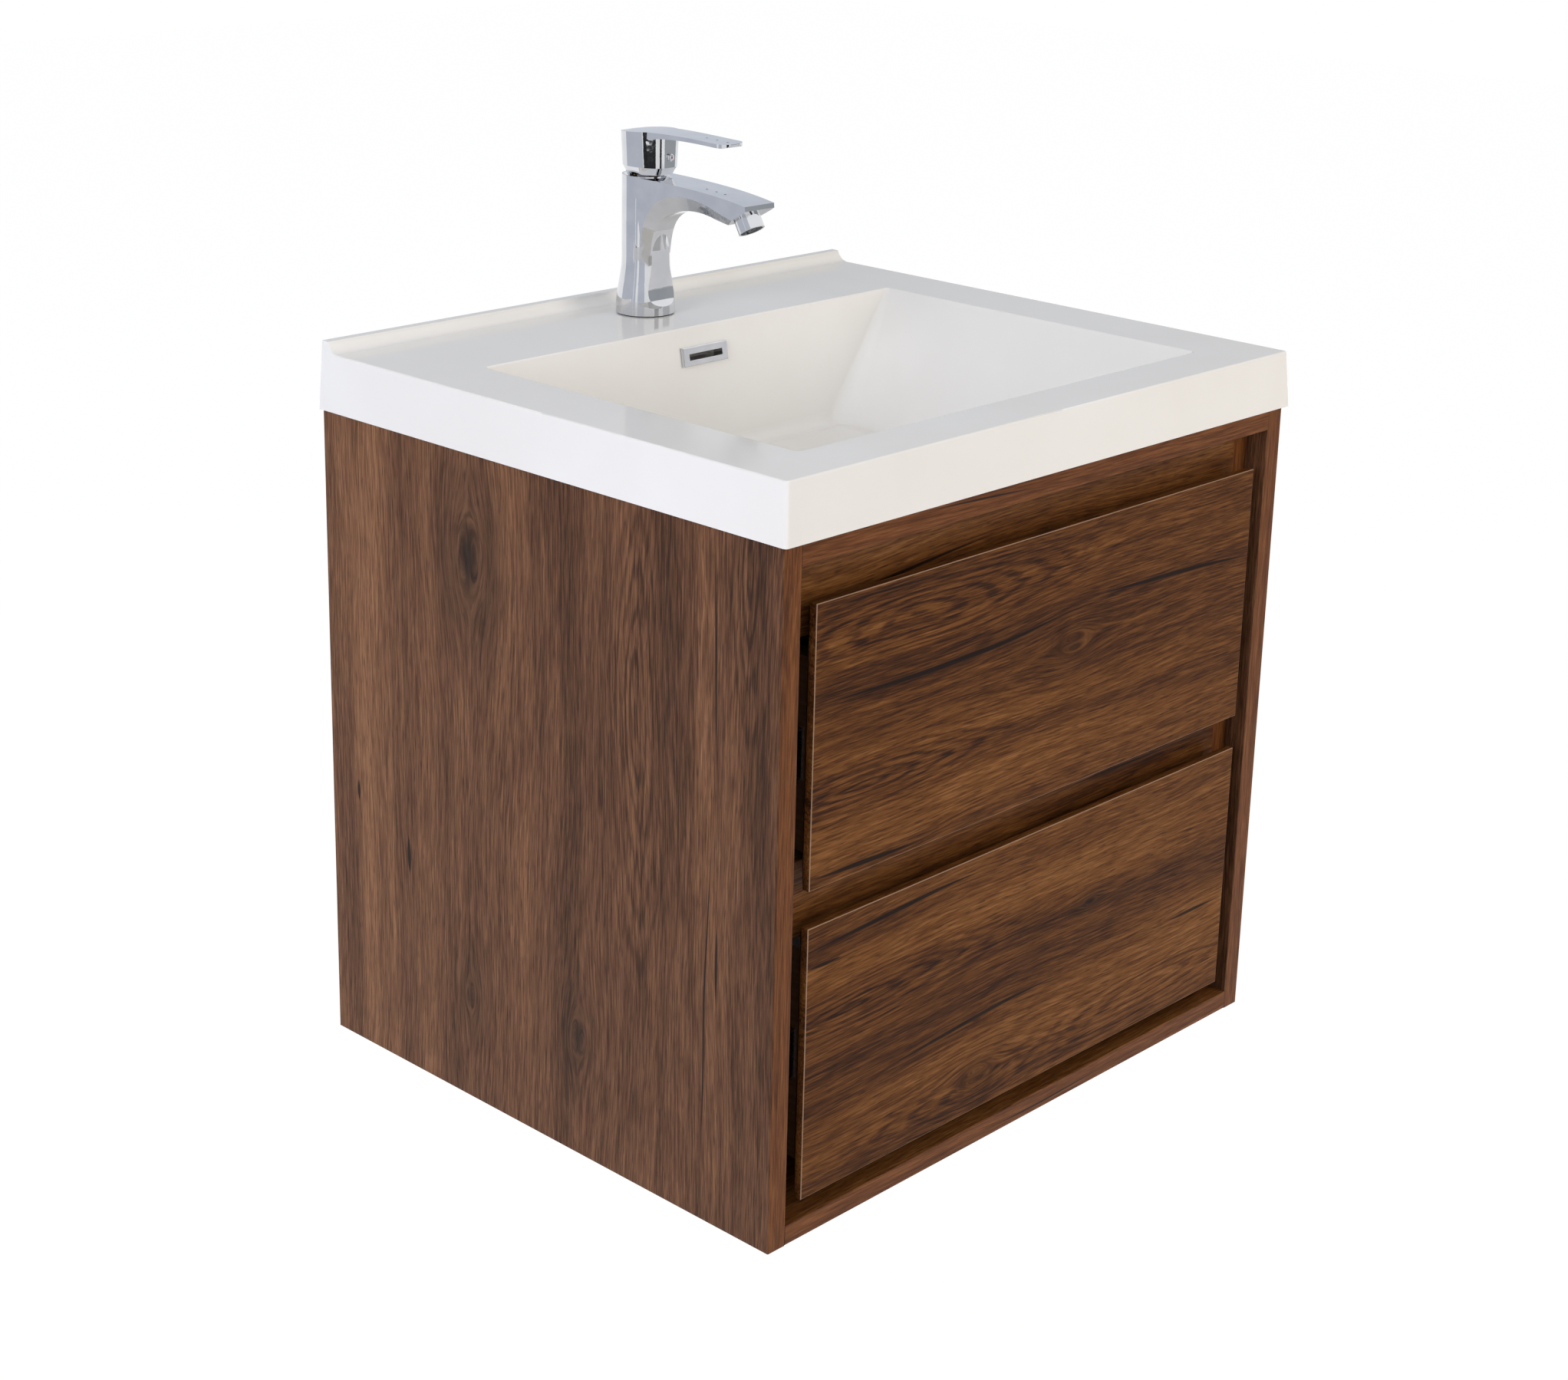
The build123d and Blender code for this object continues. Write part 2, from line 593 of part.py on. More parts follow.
def slab():
    """The deck and skirt as one block, its front corners and upper edges rounded."""
    body = drafted(TOP, DECK)
    corners = [e for e in body.edges()
               if e.center().Y < FRONT and e.bounding_box().size.Z > SKIRT_H / 2]
    body = fillet(corners, SKIRT_CORNER_R)
    upper = [e for e in level_edges(body, DECK) if e.center().Y < -RIM_R]
    return fillet(upper, RIM_R)


def upstand():
    """The lip along the wall, with a cove down to the deck."""
    low = DECK - RIM_R
    foot = (0, -LIP_FOOT, DECK)
    knee = (0, -LIP_T - 0.3 * (LIP_FOOT - LIP_T), DECK + 0.4 * LIP_H)
    crest = (0, -LIP_T, DECK + LIP_H)
    cove = ThreePointArc(foot, knee, crest)
    rest = Polyline(crest, (0, 0, DECK + LIP_H), (0, 0, low), (0, -LIP_FOOT, low), foot)
    strip = extrude(make_face([cove, rest]), amount=CABINET_W, both=True)
    return strip & drafted(low, DECK + LIP_H)


def bowl_hollow():
    """The basin's inside: four leaning walls and a floor that falls to the waste."""
    top = plan_box(BOWL_W / 2, -BOWL_FRONT, -BOWL_BACK, DECK, BOWL_CORNER_R)
    floor_half = BOWL_W / 2 - BOWL_SIDE_LEAN
    floor_front = -BOWL_FRONT + BOWL_FRONT_LEAN
    floor_back = -BOWL_BACK - BOWL_BACK_LEAN
    floor = plan_box(floor_half, floor_front, floor_back, FLOOR_EDGE_Z, BOWL_LOW_CORNER_R)
    hollow = loft([floor, top])
    foot_edges = [e for e in hollow.edges() if e.bounding_box().max.Z < FLOOR_EDGE_Z + 0.01]
    hollow = fillet(foot_edges, BOWL_FOOT_R)
    dish = plan_box(floor_half - FLOOR_FLAT, floor_front + FLOOR_FLAT,
                    floor_back - FLOOR_FLAT, FLOOR_EDGE_Z)
    pad = plan_box(WASTE_PAD / 2, WASTE_Y - WASTE_PAD / 2, WASTE_Y + WASTE_PAD / 2, BASIN_FLOOR)
    over = extrude(plan_box(BOWL_W / 2, -BOWL_FRONT, -BOWL_BACK, DECK), amount=2 * LIP_H)
    return hollow + loft([pad, dish]) + over


def bowl_outside():
    """The underside of the basin, a wall's thickness outside the hollow."""
    t = BOWL_WALL
    floor_half = BOWL_W / 2 - BOWL_SIDE_LEAN + t
    floor_front = -BOWL_FRONT + BOWL_FRONT_LEAN - t
    floor_back = -BOWL_BACK - BOWL_BACK_LEAN + t
    rim = plan_box(BOWL_W / 2 + t, -BOWL_FRONT - t, -BOWL_BACK + t, DECK - DECK_T / 2)
    floor = plan_box(floor_half, floor_front, floor_back, FLOOR_EDGE_Z - t)
    half_pad = WASTE_PAD / 2 + t
    pad = plan_box(half_pad, WASTE_Y - half_pad, WASTE_Y + half_pad, BASIN_FLOOR - t)
    return loft([floor, rim]) + loft([pad, floor])


def overflow_duct_outside():
    half = OVERFLOW_W / 2 + DUCT_WALL
    back = DUCT_BACK + DUCT_WALL
    foot = DUCT_Z - DUCT_GAP - DUCT_WALL
    behind_bowl = -BOWL_BACK - BOWL_BACK_LEAN
    fall = block(-half, half, behind_bowl, back, foot, DECK - DECK_T)
    run = block(-half, half, WASTE_Y, back, foot, FLOOR_EDGE_Z)
    return fall + run


def overflow_duct_inside():
    """From the slot down behind the basin, and forward under its floor to the waste hole."""
    half = OVERFLOW_W / 2
    slot_z = DECK - OVERFLOW_DOWN
    slot = block(-half, half, -BOWL_BACK - 15, DUCT_BACK - DUCT_GAP + 1,
                 slot_z - OVERFLOW_H / 2, slot_z + OVERFLOW_H / 2)
    fall = block(-half, half, DUCT_BACK - DUCT_GAP, DUCT_BACK,
                 DUCT_Z - DUCT_GAP, slot_z + OVERFLOW_H / 2)
    run = block(-half + 4, half - 4, WASTE_Y, DUCT_BACK, DUCT_Z - DUCT_GAP, DUCT_Z)
    return slot + fall + run


def basin_top():
    body = slab() + upstand()
    front = FRONT - TOP_OVER_FRONT + SKIRT_T
    half = HALF_W + TOP_OVER_SIDE - SKIRT_T
    body = body - block(-half, half, front, -SKIRT_T, TOP - 1, DECK - DECK_T)
    body = body + bowl_outside() + overflow_duct_outside()
    body = body + upright(BOSS_R, BOSS_FOOT, BASIN_FLOOR, 0, WASTE_Y)
    body = body - bowl_hollow() - overflow_duct_inside()
    seat_z = BASIN_FLOOR - WASTE_SEAT_DEPTH
    body = body - upright(WASTE_SEAT_R, seat_z, BASIN_FLOOR + 1, 0, WASTE_Y)
    body = body - upright(WASTE_R, BOSS_FOOT - 1, BASIN_FLOOR, 0, WASTE_Y)
    body = body - upright(TAP_HOLE_R, TOP, DECK + 1, 0, -TAP_FROM_WALL)
    return rounded_rim(body)


def rounded_rim(body):
    """Rounds the rim of the basin."""
    inside = BOWL_FRONT + 1
    rim = [e for e in level_edges(body, DECK)
           if abs(e.center().X) < BOWL_W / 2 + 1 and -inside < e.center().Y < -BOWL_BACK + 1]
    return fillet(rim, RIM_R)


def overflow_place():
    """A plane on the basin's back wall at the overflow slot, facing into the basin."""
    lean = math.atan2(BOWL_BACK_LEAN, BOWL_DEPTH)
    y = -BOWL_BACK - OVERFLOW_DOWN * math.tan(lean)
    return Plane(origin=(0, y, DECK - OVERFLOW_DOWN), x_dir=(1, 0, 0),
                 z_dir=(0, -math.cos(lean), math.sin(lean)))


def overflow_trim():
    """A bevelled plate on the basin wall, with a level sleeve that plugs into the slot."""
    place = overflow_place()
    plate = Pos(0, 0, TRIM_T / 2 + TRIM_CLEARANCE) * Box(TRIM_W, TRIM_H, TRIM_T)
    face = [e for e in plate.edges() if e.center().Z > TRIM_T]
    plate = place * chamfer(face, TRIM_BEVEL)
    half_w = OVERFLOW_W / 2 - TRIM_CLEARANCE
    half_h = OVERFLOW_H / 2 - TRIM_CLEARANCE
    y, z = place.origin.Y, place.origin.Z
    sleeve = block(-half_w, half_w, y - TRIM_T / 2, y + SLEEVE_L, z - half_h, z + half_h)
    half_w, half_h = half_w - SLEEVE_T, half_h - SLEEVE_T
    slot = block(-half_w, half_w, y - 20, y + 20, z - half_h, z + half_h)
    return plate + sleeve - slot


# ------------------------------------------------------------- pop-up waste
def drain_body():
    """Flanged, threaded waste body with a slot on each side for the overflow."""
    flange = upright(FLANGE_R, FLANGE_TOP - FLANGE_T, FLANGE_TOP, 0, WASTE_Y)
    barrel = upright(WASTE_BODY_R, WASTE_FOOT, FLANGE_TOP, 0, WASTE_Y)
    body = flange + barrel - upright(WASTE_BORE_R, WASTE_FOOT + TAIL_IN, FLANGE_TOP + 1, 0, WASTE_Y)
    body = body - upright(TAIL_SPIGOT_R + 0.05, WASTE_FOOT - 1, WASTE_FOOT + TAIL_IN, 0, WASTE_Y)
    ports = block(-12, 12, WASTE_Y - 30, WASTE_Y + 30, DUCT_Z - DUCT_GAP, DUCT_Z)
    body = body - ports
    spider_z = GUIDE_TOP - GUIDE_L
    bar = block(-WASTE_BORE_R, WASTE_BORE_R, WASTE_Y - SPIDER_T, WASTE_Y + SPIDER_T,
                spider_z - SPIDER_T, spider_z)
    return body + (bar & upright(WASTE_BORE_R + 0.5, spider_z - 20, spider_z + 20, 0, WASTE_Y))


def popup_guide():
    """The push-open mechanism: a barrel on the waste's cross bar that guides the plug's stem."""
    foot = GUIDE_TOP - GUIDE_L
    guide = upright(GUIDE_R, foot, GUIDE_TOP, 0, WASTE_Y)
    return guide - upright(STEM_R + STEM_FIT, foot + 2, GUIDE_TOP + 1, 0, WASTE_Y)


def drain_plug():
    """The mushroom plug, shown down, on a stem that stands in the guide."""
    cap = upright(PLUG_R, PLUG_FOOT, PLUG_FOOT + PLUG_T, 0, WASTE_Y)
    top_edge = [e for e in cap.edges() if e.center().Z > PLUG_FOOT + PLUG_T - 0.01]
    cap = fillet(top_edge, PLUG_T * 0.7)
    return cap + upright(STEM_R, PLUG_FOOT - STEM_L, PLUG_FOOT + 1, 0, WASTE_Y)


def drain_nut():
    """A ribbed back nut under the basin."""
    z1 = SEAL_OVER_NUT
    nut = ring(WASTE_NUT_R, WASTE_BODY_R + 0.05, z1 - WASTE_NUT_T, z1, 0, WASTE_Y)
    for i in range(12):
        a = math.radians(30 * i)
        nut = nut - upright(2.0, z1 - WASTE_NUT_T - 1, z1 - 2,
                            WASTE_NUT_R * math.cos(a), WASTE_Y + WASTE_NUT_R * math.sin(a))
    return nut


def drain_tailpiece():
    """The tail that the trap grips, turned down where it screws into the waste body."""
    shoulder = WASTE_FOOT - TAIL_RELIEF
    grip = upright(TAIL_R, TAIL_FOOT, shoulder, 0, WASTE_Y)
    spigot = upright(TAIL_SPIGOT_R, shoulder - 1, WASTE_FOOT + TAIL_IN, 0, WASTE_Y)
    bore = upright(TAIL_R - TAIL_WALL, TAIL_FOOT - 1, WASTE_FOOT + TAIL_IN + 1, 0, WASTE_Y)
    return grip + spigot - bore


def drain_seals(seat_z):
    """Two flat seals: one under the flange and one over the back nut."""
    upper = ring(FLANGE_R - 1, WASTE_R, seat_z, seat_z + SEAL_T, 0, WASTE_Y)
    lower = ring(WASTE_NUT_R - 2, WASTE_BODY_R + 0.05, SEAL_OVER_NUT, BOSS_FOOT, 0, WASTE_Y)
    return Compound(children=[upper, lower])


# ---------------------------------------------------------------------- tap
# The tap is drawn about its own axis, with the deck at Z = 0, then put in place.
def at_tap(shape):
    return Pos(0, -TAP_FROM_WALL, DECK) * shape


def spout_side_view():
    """Outline of the spout seen from the side: (forward, up) points on smooth curves."""
    seat = (AERATOR_OUT, AERATOR_UP)
    boss = AERATOR_R + BOSS_OVER_AERATOR
    front = (seat[0] + boss * AERATOR_COS, seat[1] + boss * AERATOR_SIN)
    rear = (seat[0] - boss * AERATOR_COS, seat[1] - boss * AERATOR_SIN)
    tip = (SPOUT_REACH, TAP_H - 8.6)

    def p(forward, up):
        return (0, -forward, up)

    top = Spline(p(0, TAP_H - 0.5), p(33, TAP_H - 0.9), p(61, TAP_H - 1.8), p(90, TAP_H - 3.5),
                 p(*tip))
    nose = Polyline(p(*tip), p(SPOUT_REACH + 0.6, TAP_H - 12.5), p(*front), p(*rear))
    arch = Spline(p(*rear), *[p(forward, up) for forward, up in SPOUT_ARCH])
    back = Polyline(p(*SPOUT_ARCH[-1]), p(0, SPOUT_ARCH[-1][1]), p(0, TAP_H - 0.5))
    return make_face([top, nose, arch, back])


def spout_flank():
    """The slanted face under the spout's left side, as a tool that cuts everything outside it."""
    low = Spline(*[(-half_w, -forward, up) for half_w, forward, up in FLANK_LOW])
    high = Spline(*[(-half_w, -forward, up) for half_w, forward, up in FLANK_HIGH])
    return extrude(Face.make_surface_from_curves(low, high), amount=40, dir=(-1, -0.5, -0.8))


def spout_plan(root, middle, tip, bulge, z):
    """Outline of the spout seen from above, as half widths at its root, middle and tip."""
    reach = SPOUT_REACH + 2
    ends = [(root, 0), (middle, -60), (tip, -reach)]
    right = Spline(*[(w, y, z) for w, y in ends])
    left = Spline(*[(-w, y, z) for w, y in ends])
    nose = ThreePointArc((tip, -reach, z), (0, -reach - bulge, z), (-tip, -reach, z))
    heel = Line((-root, 0, z), (root, 0, z))
    return make_face([right, nose, left, heel])


def tap_column():
    """The column: a flared foot, a slim waist and a slightly wider top."""
    foot = BASE_SEAL_T
    side = Spline((TAP_BASE_R, 0, foot + 5), (TAP_BASE_R - 1.9, 0, 25), (TAP_WAIST_R + 0.3, 0, 40),
                  (TAP_WAIST_R, 0, 56), (TAP_WAIST_R + 0.1, 0, 90), (TAP_TOP_R, 0, TAP_H))
    rest = Polyline((TAP_TOP_R, 0, TAP_H), (0, 0, TAP_H), (0, 0, foot), (TAP_BASE_R, 0, foot),
                    (TAP_BASE_R, 0, foot + 5))
    return revolve(make_face([side, rest]), axis=Axis.Z)


def column_panel():
    """The shallow flat down the front of the column, from the arch to the rim of the foot."""
    def p(forward, up):
        return (0, -forward, up)

    top, outer = SPOUT_ARCH[-1][1] + 4, TAP_BASE_R + 5
    face = Spline(p(PANEL_FORWARD, top), p(PANEL_FORWARD, 45), p(PANEL_FORWARD + 0.4, 26),
                  p(PANEL_FORWARD + 3.2, 13), p(outer, 6.5))
    rest = Polyline(p(outer, 6.5), p(outer, top), p(PANEL_FORWARD, top))
    return extrude(make_face([face, rest]), amount=TAP_BASE_R, both=True)


def aerator_point(along, across=0.0):
    """A point on the outlet's axis: along it from the seat, and across it to the front."""
    y = -(AERATOR_OUT + along * AERATOR_SIN + across * AERATOR_COS)
    return (0, y, AERATOR_UP - along * AERATOR_COS + across * AERATOR_SIN)


def tap_waterways():
    """Cartridge chamber, the dish the lever sweeps, the hollow foot and the bore along the spout."""
    cuts = upright(CHAMBER_R, CHAMBER_FOOT - 1, CARTRIDGE_TOP + 1)
    cuts = cuts + upright(NUT_SEAT_R, CARTRIDGE_TOP, TAP_H + 1)
    cuts = cuts + Pos(0, 0, PIVOT_H) * Sphere(SWEEP_R + DISH_CLEARANCE)
    cuts = cuts + upright(TAP_HOLLOW_R, 0, CHAMBER_FOOT)
    outlet, bend = (0, -CHAMBER_R + 2, OUTLET_H), (0, -SPOUT_BEND, SPOUT_BEND_H)
    cuts = cuts + rod(SPOUT_BORE_R, outlet, bend) + Pos(*bend) * Sphere(SPOUT_BORE_R)
    cuts = cuts + rod(SPOUT_BORE_R, bend, (0, -AERATOR_OUT + 12, SPOUT_END_H))
    return cuts + rod(HOUSING_NECK_R + 0.1, aerator_point(-10), aerator_point(1))


def tap_body():
    width = extrude(spout_side_view(), amount=TAP_TOP_R + 5, both=True)
    high = spout_plan(TAP_TOP_R - 0.3, 18.6, 17.4, 0.5, TAP_H + 1)
    low = spout_plan(TAP_TOP_R - 3.5, 14.8, 14.6, 0.5, SPOUT_ARCH[-1][1] - 2)
    flank = spout_flank()
    spout = (width & loft([low, high])) - flank - mirrored(flank)
    boss = rod(AERATOR_R + BOSS_OVER_AERATOR, aerator_point(-12), aerator_point(0))
    body = tap_column() - column_panel() + spout + (boss & width)
    return at_tap(body - tap_waterways())


def inlet_block():
    """A brass plug in the hollow foot, under the cartridge. It takes both hoses and the stud."""
    plug = upright(TAP_HOLLOW_R - BLOCK_FIT, TAP_HOLLOW_H, CHAMBER_FOOT)
    for x in (-INLET_X, INLET_X):
        plug = plug - upright(INLET_R, TAP_HOLLOW_H - 1, TAP_HOLLOW_H + INLET_L, x, -INLET_FORWARD)
        plug = plug - upright(INLET_R - 2, TAP_HOLLOW_H, CHAMBER_FOOT + 1, x, -INLET_FORWARD)
    return at_tap(plug - upright(STUD_R, TAP_HOLLOW_H - 1, TAP_HOLLOW_H + STUD_IN_BLOCK, 0, STUD_BACK))


def aerator_housing():
    """The outlet's sleeve: a threaded neck in the spout and a cup for the mesh disc."""
    cup = rod(AERATOR_R, aerator_point(0.05), aerator_point(AERATOR_L))
    cup = cup - rod(HOUSING_BORE_R, aerator_point(1.5), aerator_point(AERATOR_L + 1))
    neck = rod(HOUSING_NECK_R, aerator_point(-6), aerator_point(1))
    bore = rod(HOUSING_NECK_BORE_R, aerator_point(-7), aerator_point(2))
    return at_tap(cup + neck - bore)


def aerator_insert():
    """The mesh disc inside the outlet."""
    disc = rod(INSERT_R, aerator_point(AERATOR_L - 5), aerator_point(AERATOR_L - 1.5))
    axis = Plane(origin=aerator_point(AERATOR_L - 5), z_dir=(0, -AERATOR_SIN, -AERATOR_COS))
    steps = [i * MESH_PITCH for i in range(-2, 3)]
    for x in steps:
        for y in steps:
            if math.hypot(x, y) < INSERT_R - MESH_PITCH:
                disc = disc - axis * Pos(x, y, 2) * Box(MESH_HOLE, MESH_HOLE, 8)
    return at_tap(disc)


def cartridge_housing():
    cup = upright(CARTRIDGE_R, CHAMBER_FOOT, CARTRIDGE_TOP)
    cup = cup - upright(ROTOR_R + 0.2, ROTOR_FOOT - 0.2, CARTRIDGE_TOP + 1)
    for x in (-INLET_X, INLET_X):
        cup = cup - upright(2.5, CHAMBER_FOOT - 1, ROTOR_FOOT, x, -INLET_FORWARD)
    return at_tap(cup - rod(3.5, (0, 0, OUTLET_H), (0, -CARTRIDGE_R - 1, OUTLET_H)))


def cartridge_nut():
    nut = ring(NUT_R, NUT_HOLE_R, CARTRIDGE_TOP, NUT_TOP)
    flat = block(NUT_R - 1.5, NUT_R + 5, -20, 20, NUT_TOP - 4, NUT_TOP + 1)
    for i in range(6):
        nut = nut - Rot(0, 0, 60 * i) * flat
    return at_tap(nut)


def cartridge_rotor():
    """Turns with the lever. Its slotted neck carries the spindle's pivot pin."""
    rotor = upright(ROTOR_R, ROTOR_FOOT, CARTRIDGE_TOP - 0.3)
    rotor = rotor + upright(ROTOR_NECK_R, ROTOR_FOOT, ROTOR_TOP)
    slot = SPINDLE_SIDE / 2 + 0.3
    rotor = rotor - block(-slot, slot, -ROTOR_NECK_R - 1, 6, SPINDLE_FOOT - 1.5, ROTOR_TOP + 1)
    return at_tap(rotor - rod(PIN_R, (-20, 0, PIVOT_H), (20, 0, PIVOT_H)))


def rotor_pin():
    reach = ROTOR_NECK_R - 0.2
    return at_tap(rod(PIN_R, (-reach, 0, PIVOT_H), (reach, 0, PIVOT_H)))


def cartridge_spindle():
    half = SPINDLE_SIDE / 2
    bar = block(-half, half, -half, half, SPINDLE_FOOT, SPINDLE_TOP)
    return at_tap(bar - rod(PIN_R + PIN_FIT, (-20, 0, PIVOT_H), (20, 0, PIVOT_H)))


def head_plan(radius, front, z):
    """The head seen from above: round behind, drawn forward to a rounded front."""
    back = ThreePointArc((radius, 0, z), (0, radius, z), (-radius, 0, z))
    places = [(radius, 0), (radius * 0.94, -front * 0.42), (radius * 0.66, -front * 0.84), (0, -front)]
    ways = [(0, -1, 0), (-1, 0, 0)]
    right = Spline(*[(x, y, z) for x, y in places], tangents=ways)
    left = Spline(*[(-x, y, z) for x, y in places], tangents=[(0, -1, 0), (1, 0, 0)])
    return make_face([back, left, right])


def above_crest():
    """Everything above the curved top of the head and blade, as a tool."""
    curve = Spline(*[(0, -forward, up) for forward, up in CREST])
    start, end, high = CREST[0], CREST[-1], HEAD_TOP + 5
    rest = Polyline((0, -end[0], end[1]), (0, -end[0], high), (0, -start[0], high),
                    (0, -start[0], start[1]))
    return extrude(make_face([curve, rest]), amount=HEAD_TOP_R + 5, both=True)


def lever_blade():
    """The blade: a thick root and a thin tip, left tall here for the curved top to be cut."""
    tip_z = CREST[-1][1]

    def p(forward, up):
        return (0, -forward, up)

    nose = ThreePointArc(p(LEVER_REACH, tip_z), p(LEVER_REACH - 0.7, tip_z - 1.9),
                         p(LEVER_REACH - 3, tip_z - LEVER_TIP_T))
    under = Spline(p(LEVER_REACH - 3, tip_z - LEVER_TIP_T), p(75, BLADE_UNDER),
                   p(45, BLADE_UNDER), p(20, BLADE_ROOT))
    rest = Polyline(p(20, BLADE_ROOT), p(0, BLADE_ROOT), p(0, HEAD_TOP), p(LEVER_REACH, HEAD_TOP),
                    p(LEVER_REACH, tip_z))
    side = extrude(make_face([nose, under, rest]), amount=LEVER_W, both=True)
    half, root, reach = LEVER_W / 2, HEAD_TOP_R * 0.9, LEVER_REACH
    z = HEAD_TOP - 30
    flare = [(root, 0), (half + 2.2, -27), (half + 0.4, -50), (half - 0.4, -reach + 7)]
    round_tip = [(half - 0.4, -reach + 7), (half - 5, -reach + 1.6), (0, -reach - 0.5)]
    right = Spline(*[(x, y, z) for x, y in flare])
    left = Spline(*[(-x, y, z) for x, y in flare])
    tip = Spline(*[(x, y, z) for x, y in round_tip], *[(-x, y, z) for x, y in round_tip[1::-1]])
    plan = extrude(make_face([right, tip, left, Line((-root, 0, z), (root, 0, z))]), amount=40)
    return side & plan


def lever_handle():
    low = head_plan(HEAD_LOW_R, HEAD_FRONT - 1, HEAD_CHAMFER_TOP)
    high = head_plan(HEAD_TOP_R, HEAD_FRONT, HEAD_TOP)
    foot = head_plan(HEAD_FOOT_R, HEAD_FRONT - 5, HEAD_FOOT)
    head = loft([low, high]) + loft([foot, low]) + lever_blade() - above_crest()
    pocket = (Pos(0, 0, PIVOT_H) * Sphere(POCKET_R)) & upright(POCKET_R, HEAD_FOOT - 1, PIVOT_H)
    pocket = pocket + upright(12.0, PIVOT_H - 1, POCKET_TOP)
    half = SPINDLE_SIDE / 2 + SOCKET_FIT
    pocket = pocket + block(-half, half, -half, half, POCKET_TOP - 1, SPINDLE_TOP + 0.3)
    handle = head - pocket
    handle = handle - rod(SET_SCREW_R, (0, half - 1, SET_SCREW_H), (0, HEAD_TOP_R + 2, SET_SCREW_H))
    return at_tap(handle - indicator_bore(0.0))


def indicator_bore(clearance):
    ends = (0, -HEAD_FRONT - 2, INDICATOR_H), (0, -HEAD_FRONT + 4, INDICATOR_H)
    return rod(INDICATOR_R - clearance, *ends)


def indicator_plug():
    plug = indicator_bore(0.05) & block(-10, 10, -HEAD_FRONT - INDICATOR_PROUD, 0, 0, HEAD_TOP)
    return at_tap(plug)


def lever_set_screw():
    inner = SPINDLE_SIDE / 2 + SOCKET_FIT
    outer = inner + SET_SCREW_L
    screw = rod(SET_SCREW_R - 0.05, (0, inner, SET_SCREW_H), (0, outer, SET_SCREW_H))
    key = Plane(origin=(0, outer, SET_SCREW_H), z_dir=(0, 1, 0)) * RegularPolygon(1.1, 6)
    return at_tap(screw - extrude(key, amount=-3))


def tap_stud():
    top = DECK + TAP_HOLLOW_H + STUD_IN_BLOCK - 0.5
    return upright(STUD_R - 0.05, DECK_UNDER - STUD_BELOW_DECK, top, 0, STUD_Y)


def clamp_plate(z0, z1):
    """A horseshoe plate under the deck: it leaves room for the hoses ahead of the stud."""
    plate = upright(TAP_HOLE_R + CLAMP_OVERLAP, z0, z1, 0, -TAP_FROM_WALL)
    hoses = block(-HOSE_GAP_HALF_W, HOSE_GAP_HALF_W, -TAP_FROM_WALL - 14, STUD_Y - STUD_R - 0.6,
                  z0 - 1, z1 + 1)
    stud = upright(STUD_R + 0.1, z0 - 1, z1 + 1, 0, STUD_Y)
    return plate - hoses - stud


def tap_nut():
    foot = CLAMP_FOOT - TAP_NUT_L
    nut = Pos(0, STUD_Y, foot) * extrude(RegularPolygon(TAP_NUT_R, 6), amount=TAP_NUT_L)
    return nut - upright(STUD_R, foot - 1, CLAMP_FOOT + 1, 0, STUD_Y)


# ------------------------------------------------------------------- pieces
def cabinet_pieces():
    side, filler = side_panel(), filler_panel()
    return {
        "left_side_panel": mirrored(side),
        "right_side_panel": side,
        "bottom_panel": bottom_panel(),
        "top_front_rail": top_front_rail(),
        "upper_recess_rail": recess_rail(UPPER_RAIL_FOOT),
        "middle_recess_rail": recess_rail(MIDDLE_RAIL_FOOT),
        "left_filler_panel": mirrored(filler),
        "right_filler_panel": filler,
        "hanging_rail": back_rail(TOP - BACK_RAIL_H, 0.0),
        "lower_back_rail": back_rail(FLOOR_Z, LOWER_FIXING_Z),
        "corner_blocks": corner_blocks(),
        "cabinet_dowels": cabinet_dowels(),
        "slide_screws": slide_screws(),
        "upper_slide_cabinet_rails": pair(slide_cabinet_rail(UPPER_BOX_MID)),
        "lower_slide_cabinet_rails": pair(slide_cabinet_rail(LOWER_BOX_MID)),
        "upper_slide_middle_rails": pair(slide_middle_rail(UPPER_BOX_MID)),
        "lower_slide_middle_rails": pair(slide_middle_rail(LOWER_BOX_MID)),
    }


def drawer_pieces():
    upper_side = drawer_side(UPPER_BOX_FOOT, UPPER_BOX_TOP)
    lower_side = drawer_side(LOWER_BOX_FOOT, LOWER_BOX_TOP)
    upper_places = side_dowel_places(UPPER_BOX_FOOT, UPPER_BOX_TOP)
    lower_places = side_dowel_places(LOWER_BOX_FOOT, LOWER_BOX_TOP)
    return {
        "upper_drawer_front": drill(drawer_front(UPPER_FRONT_FOOT, UPPER_FRONT_TOP), upper_places),
        "upper_drawer_left_side": mirrored(upper_side),
        "upper_drawer_right_side": upper_side,
        "upper_drawer_bottom": upper_drawer_bottom(),
        "upper_drawer_back_panels": pair(upper_back_panel()),
        "upper_drawer_cutout_sides": pair(cutout_side()),
        "upper_drawer_cutout_front": cutout_front(),
        "upper_drawer_dowels": drawer_dowels(UPPER_BOX_FOOT, UPPER_BOX_TOP),
        "upper_drawer_screws": drawer_screws(UPPER_BOX_MID),
        "upper_slide_drawer_rails": pair(slide_drawer_rail(UPPER_BOX_MID)),
        "lower_drawer_front": drill(drawer_front(LOWER_FRONT_FOOT, LOWER_FRONT_TOP), lower_places),
        "lower_drawer_left_side": mirrored(lower_side),
        "lower_drawer_right_side": lower_side,
        "lower_drawer_bottom": drawer_bottom(LOWER_BOX_FOOT),
        "lower_drawer_back": lower_back_panel(),
        "lower_drawer_dowels": drawer_dowels(LOWER_BOX_FOOT, LOWER_BOX_TOP),
        "lower_drawer_screws": drawer_screws(LOWER_BOX_MID),
        "lower_slide_drawer_rails": pair(slide_drawer_rail(LOWER_BOX_MID)),
    }


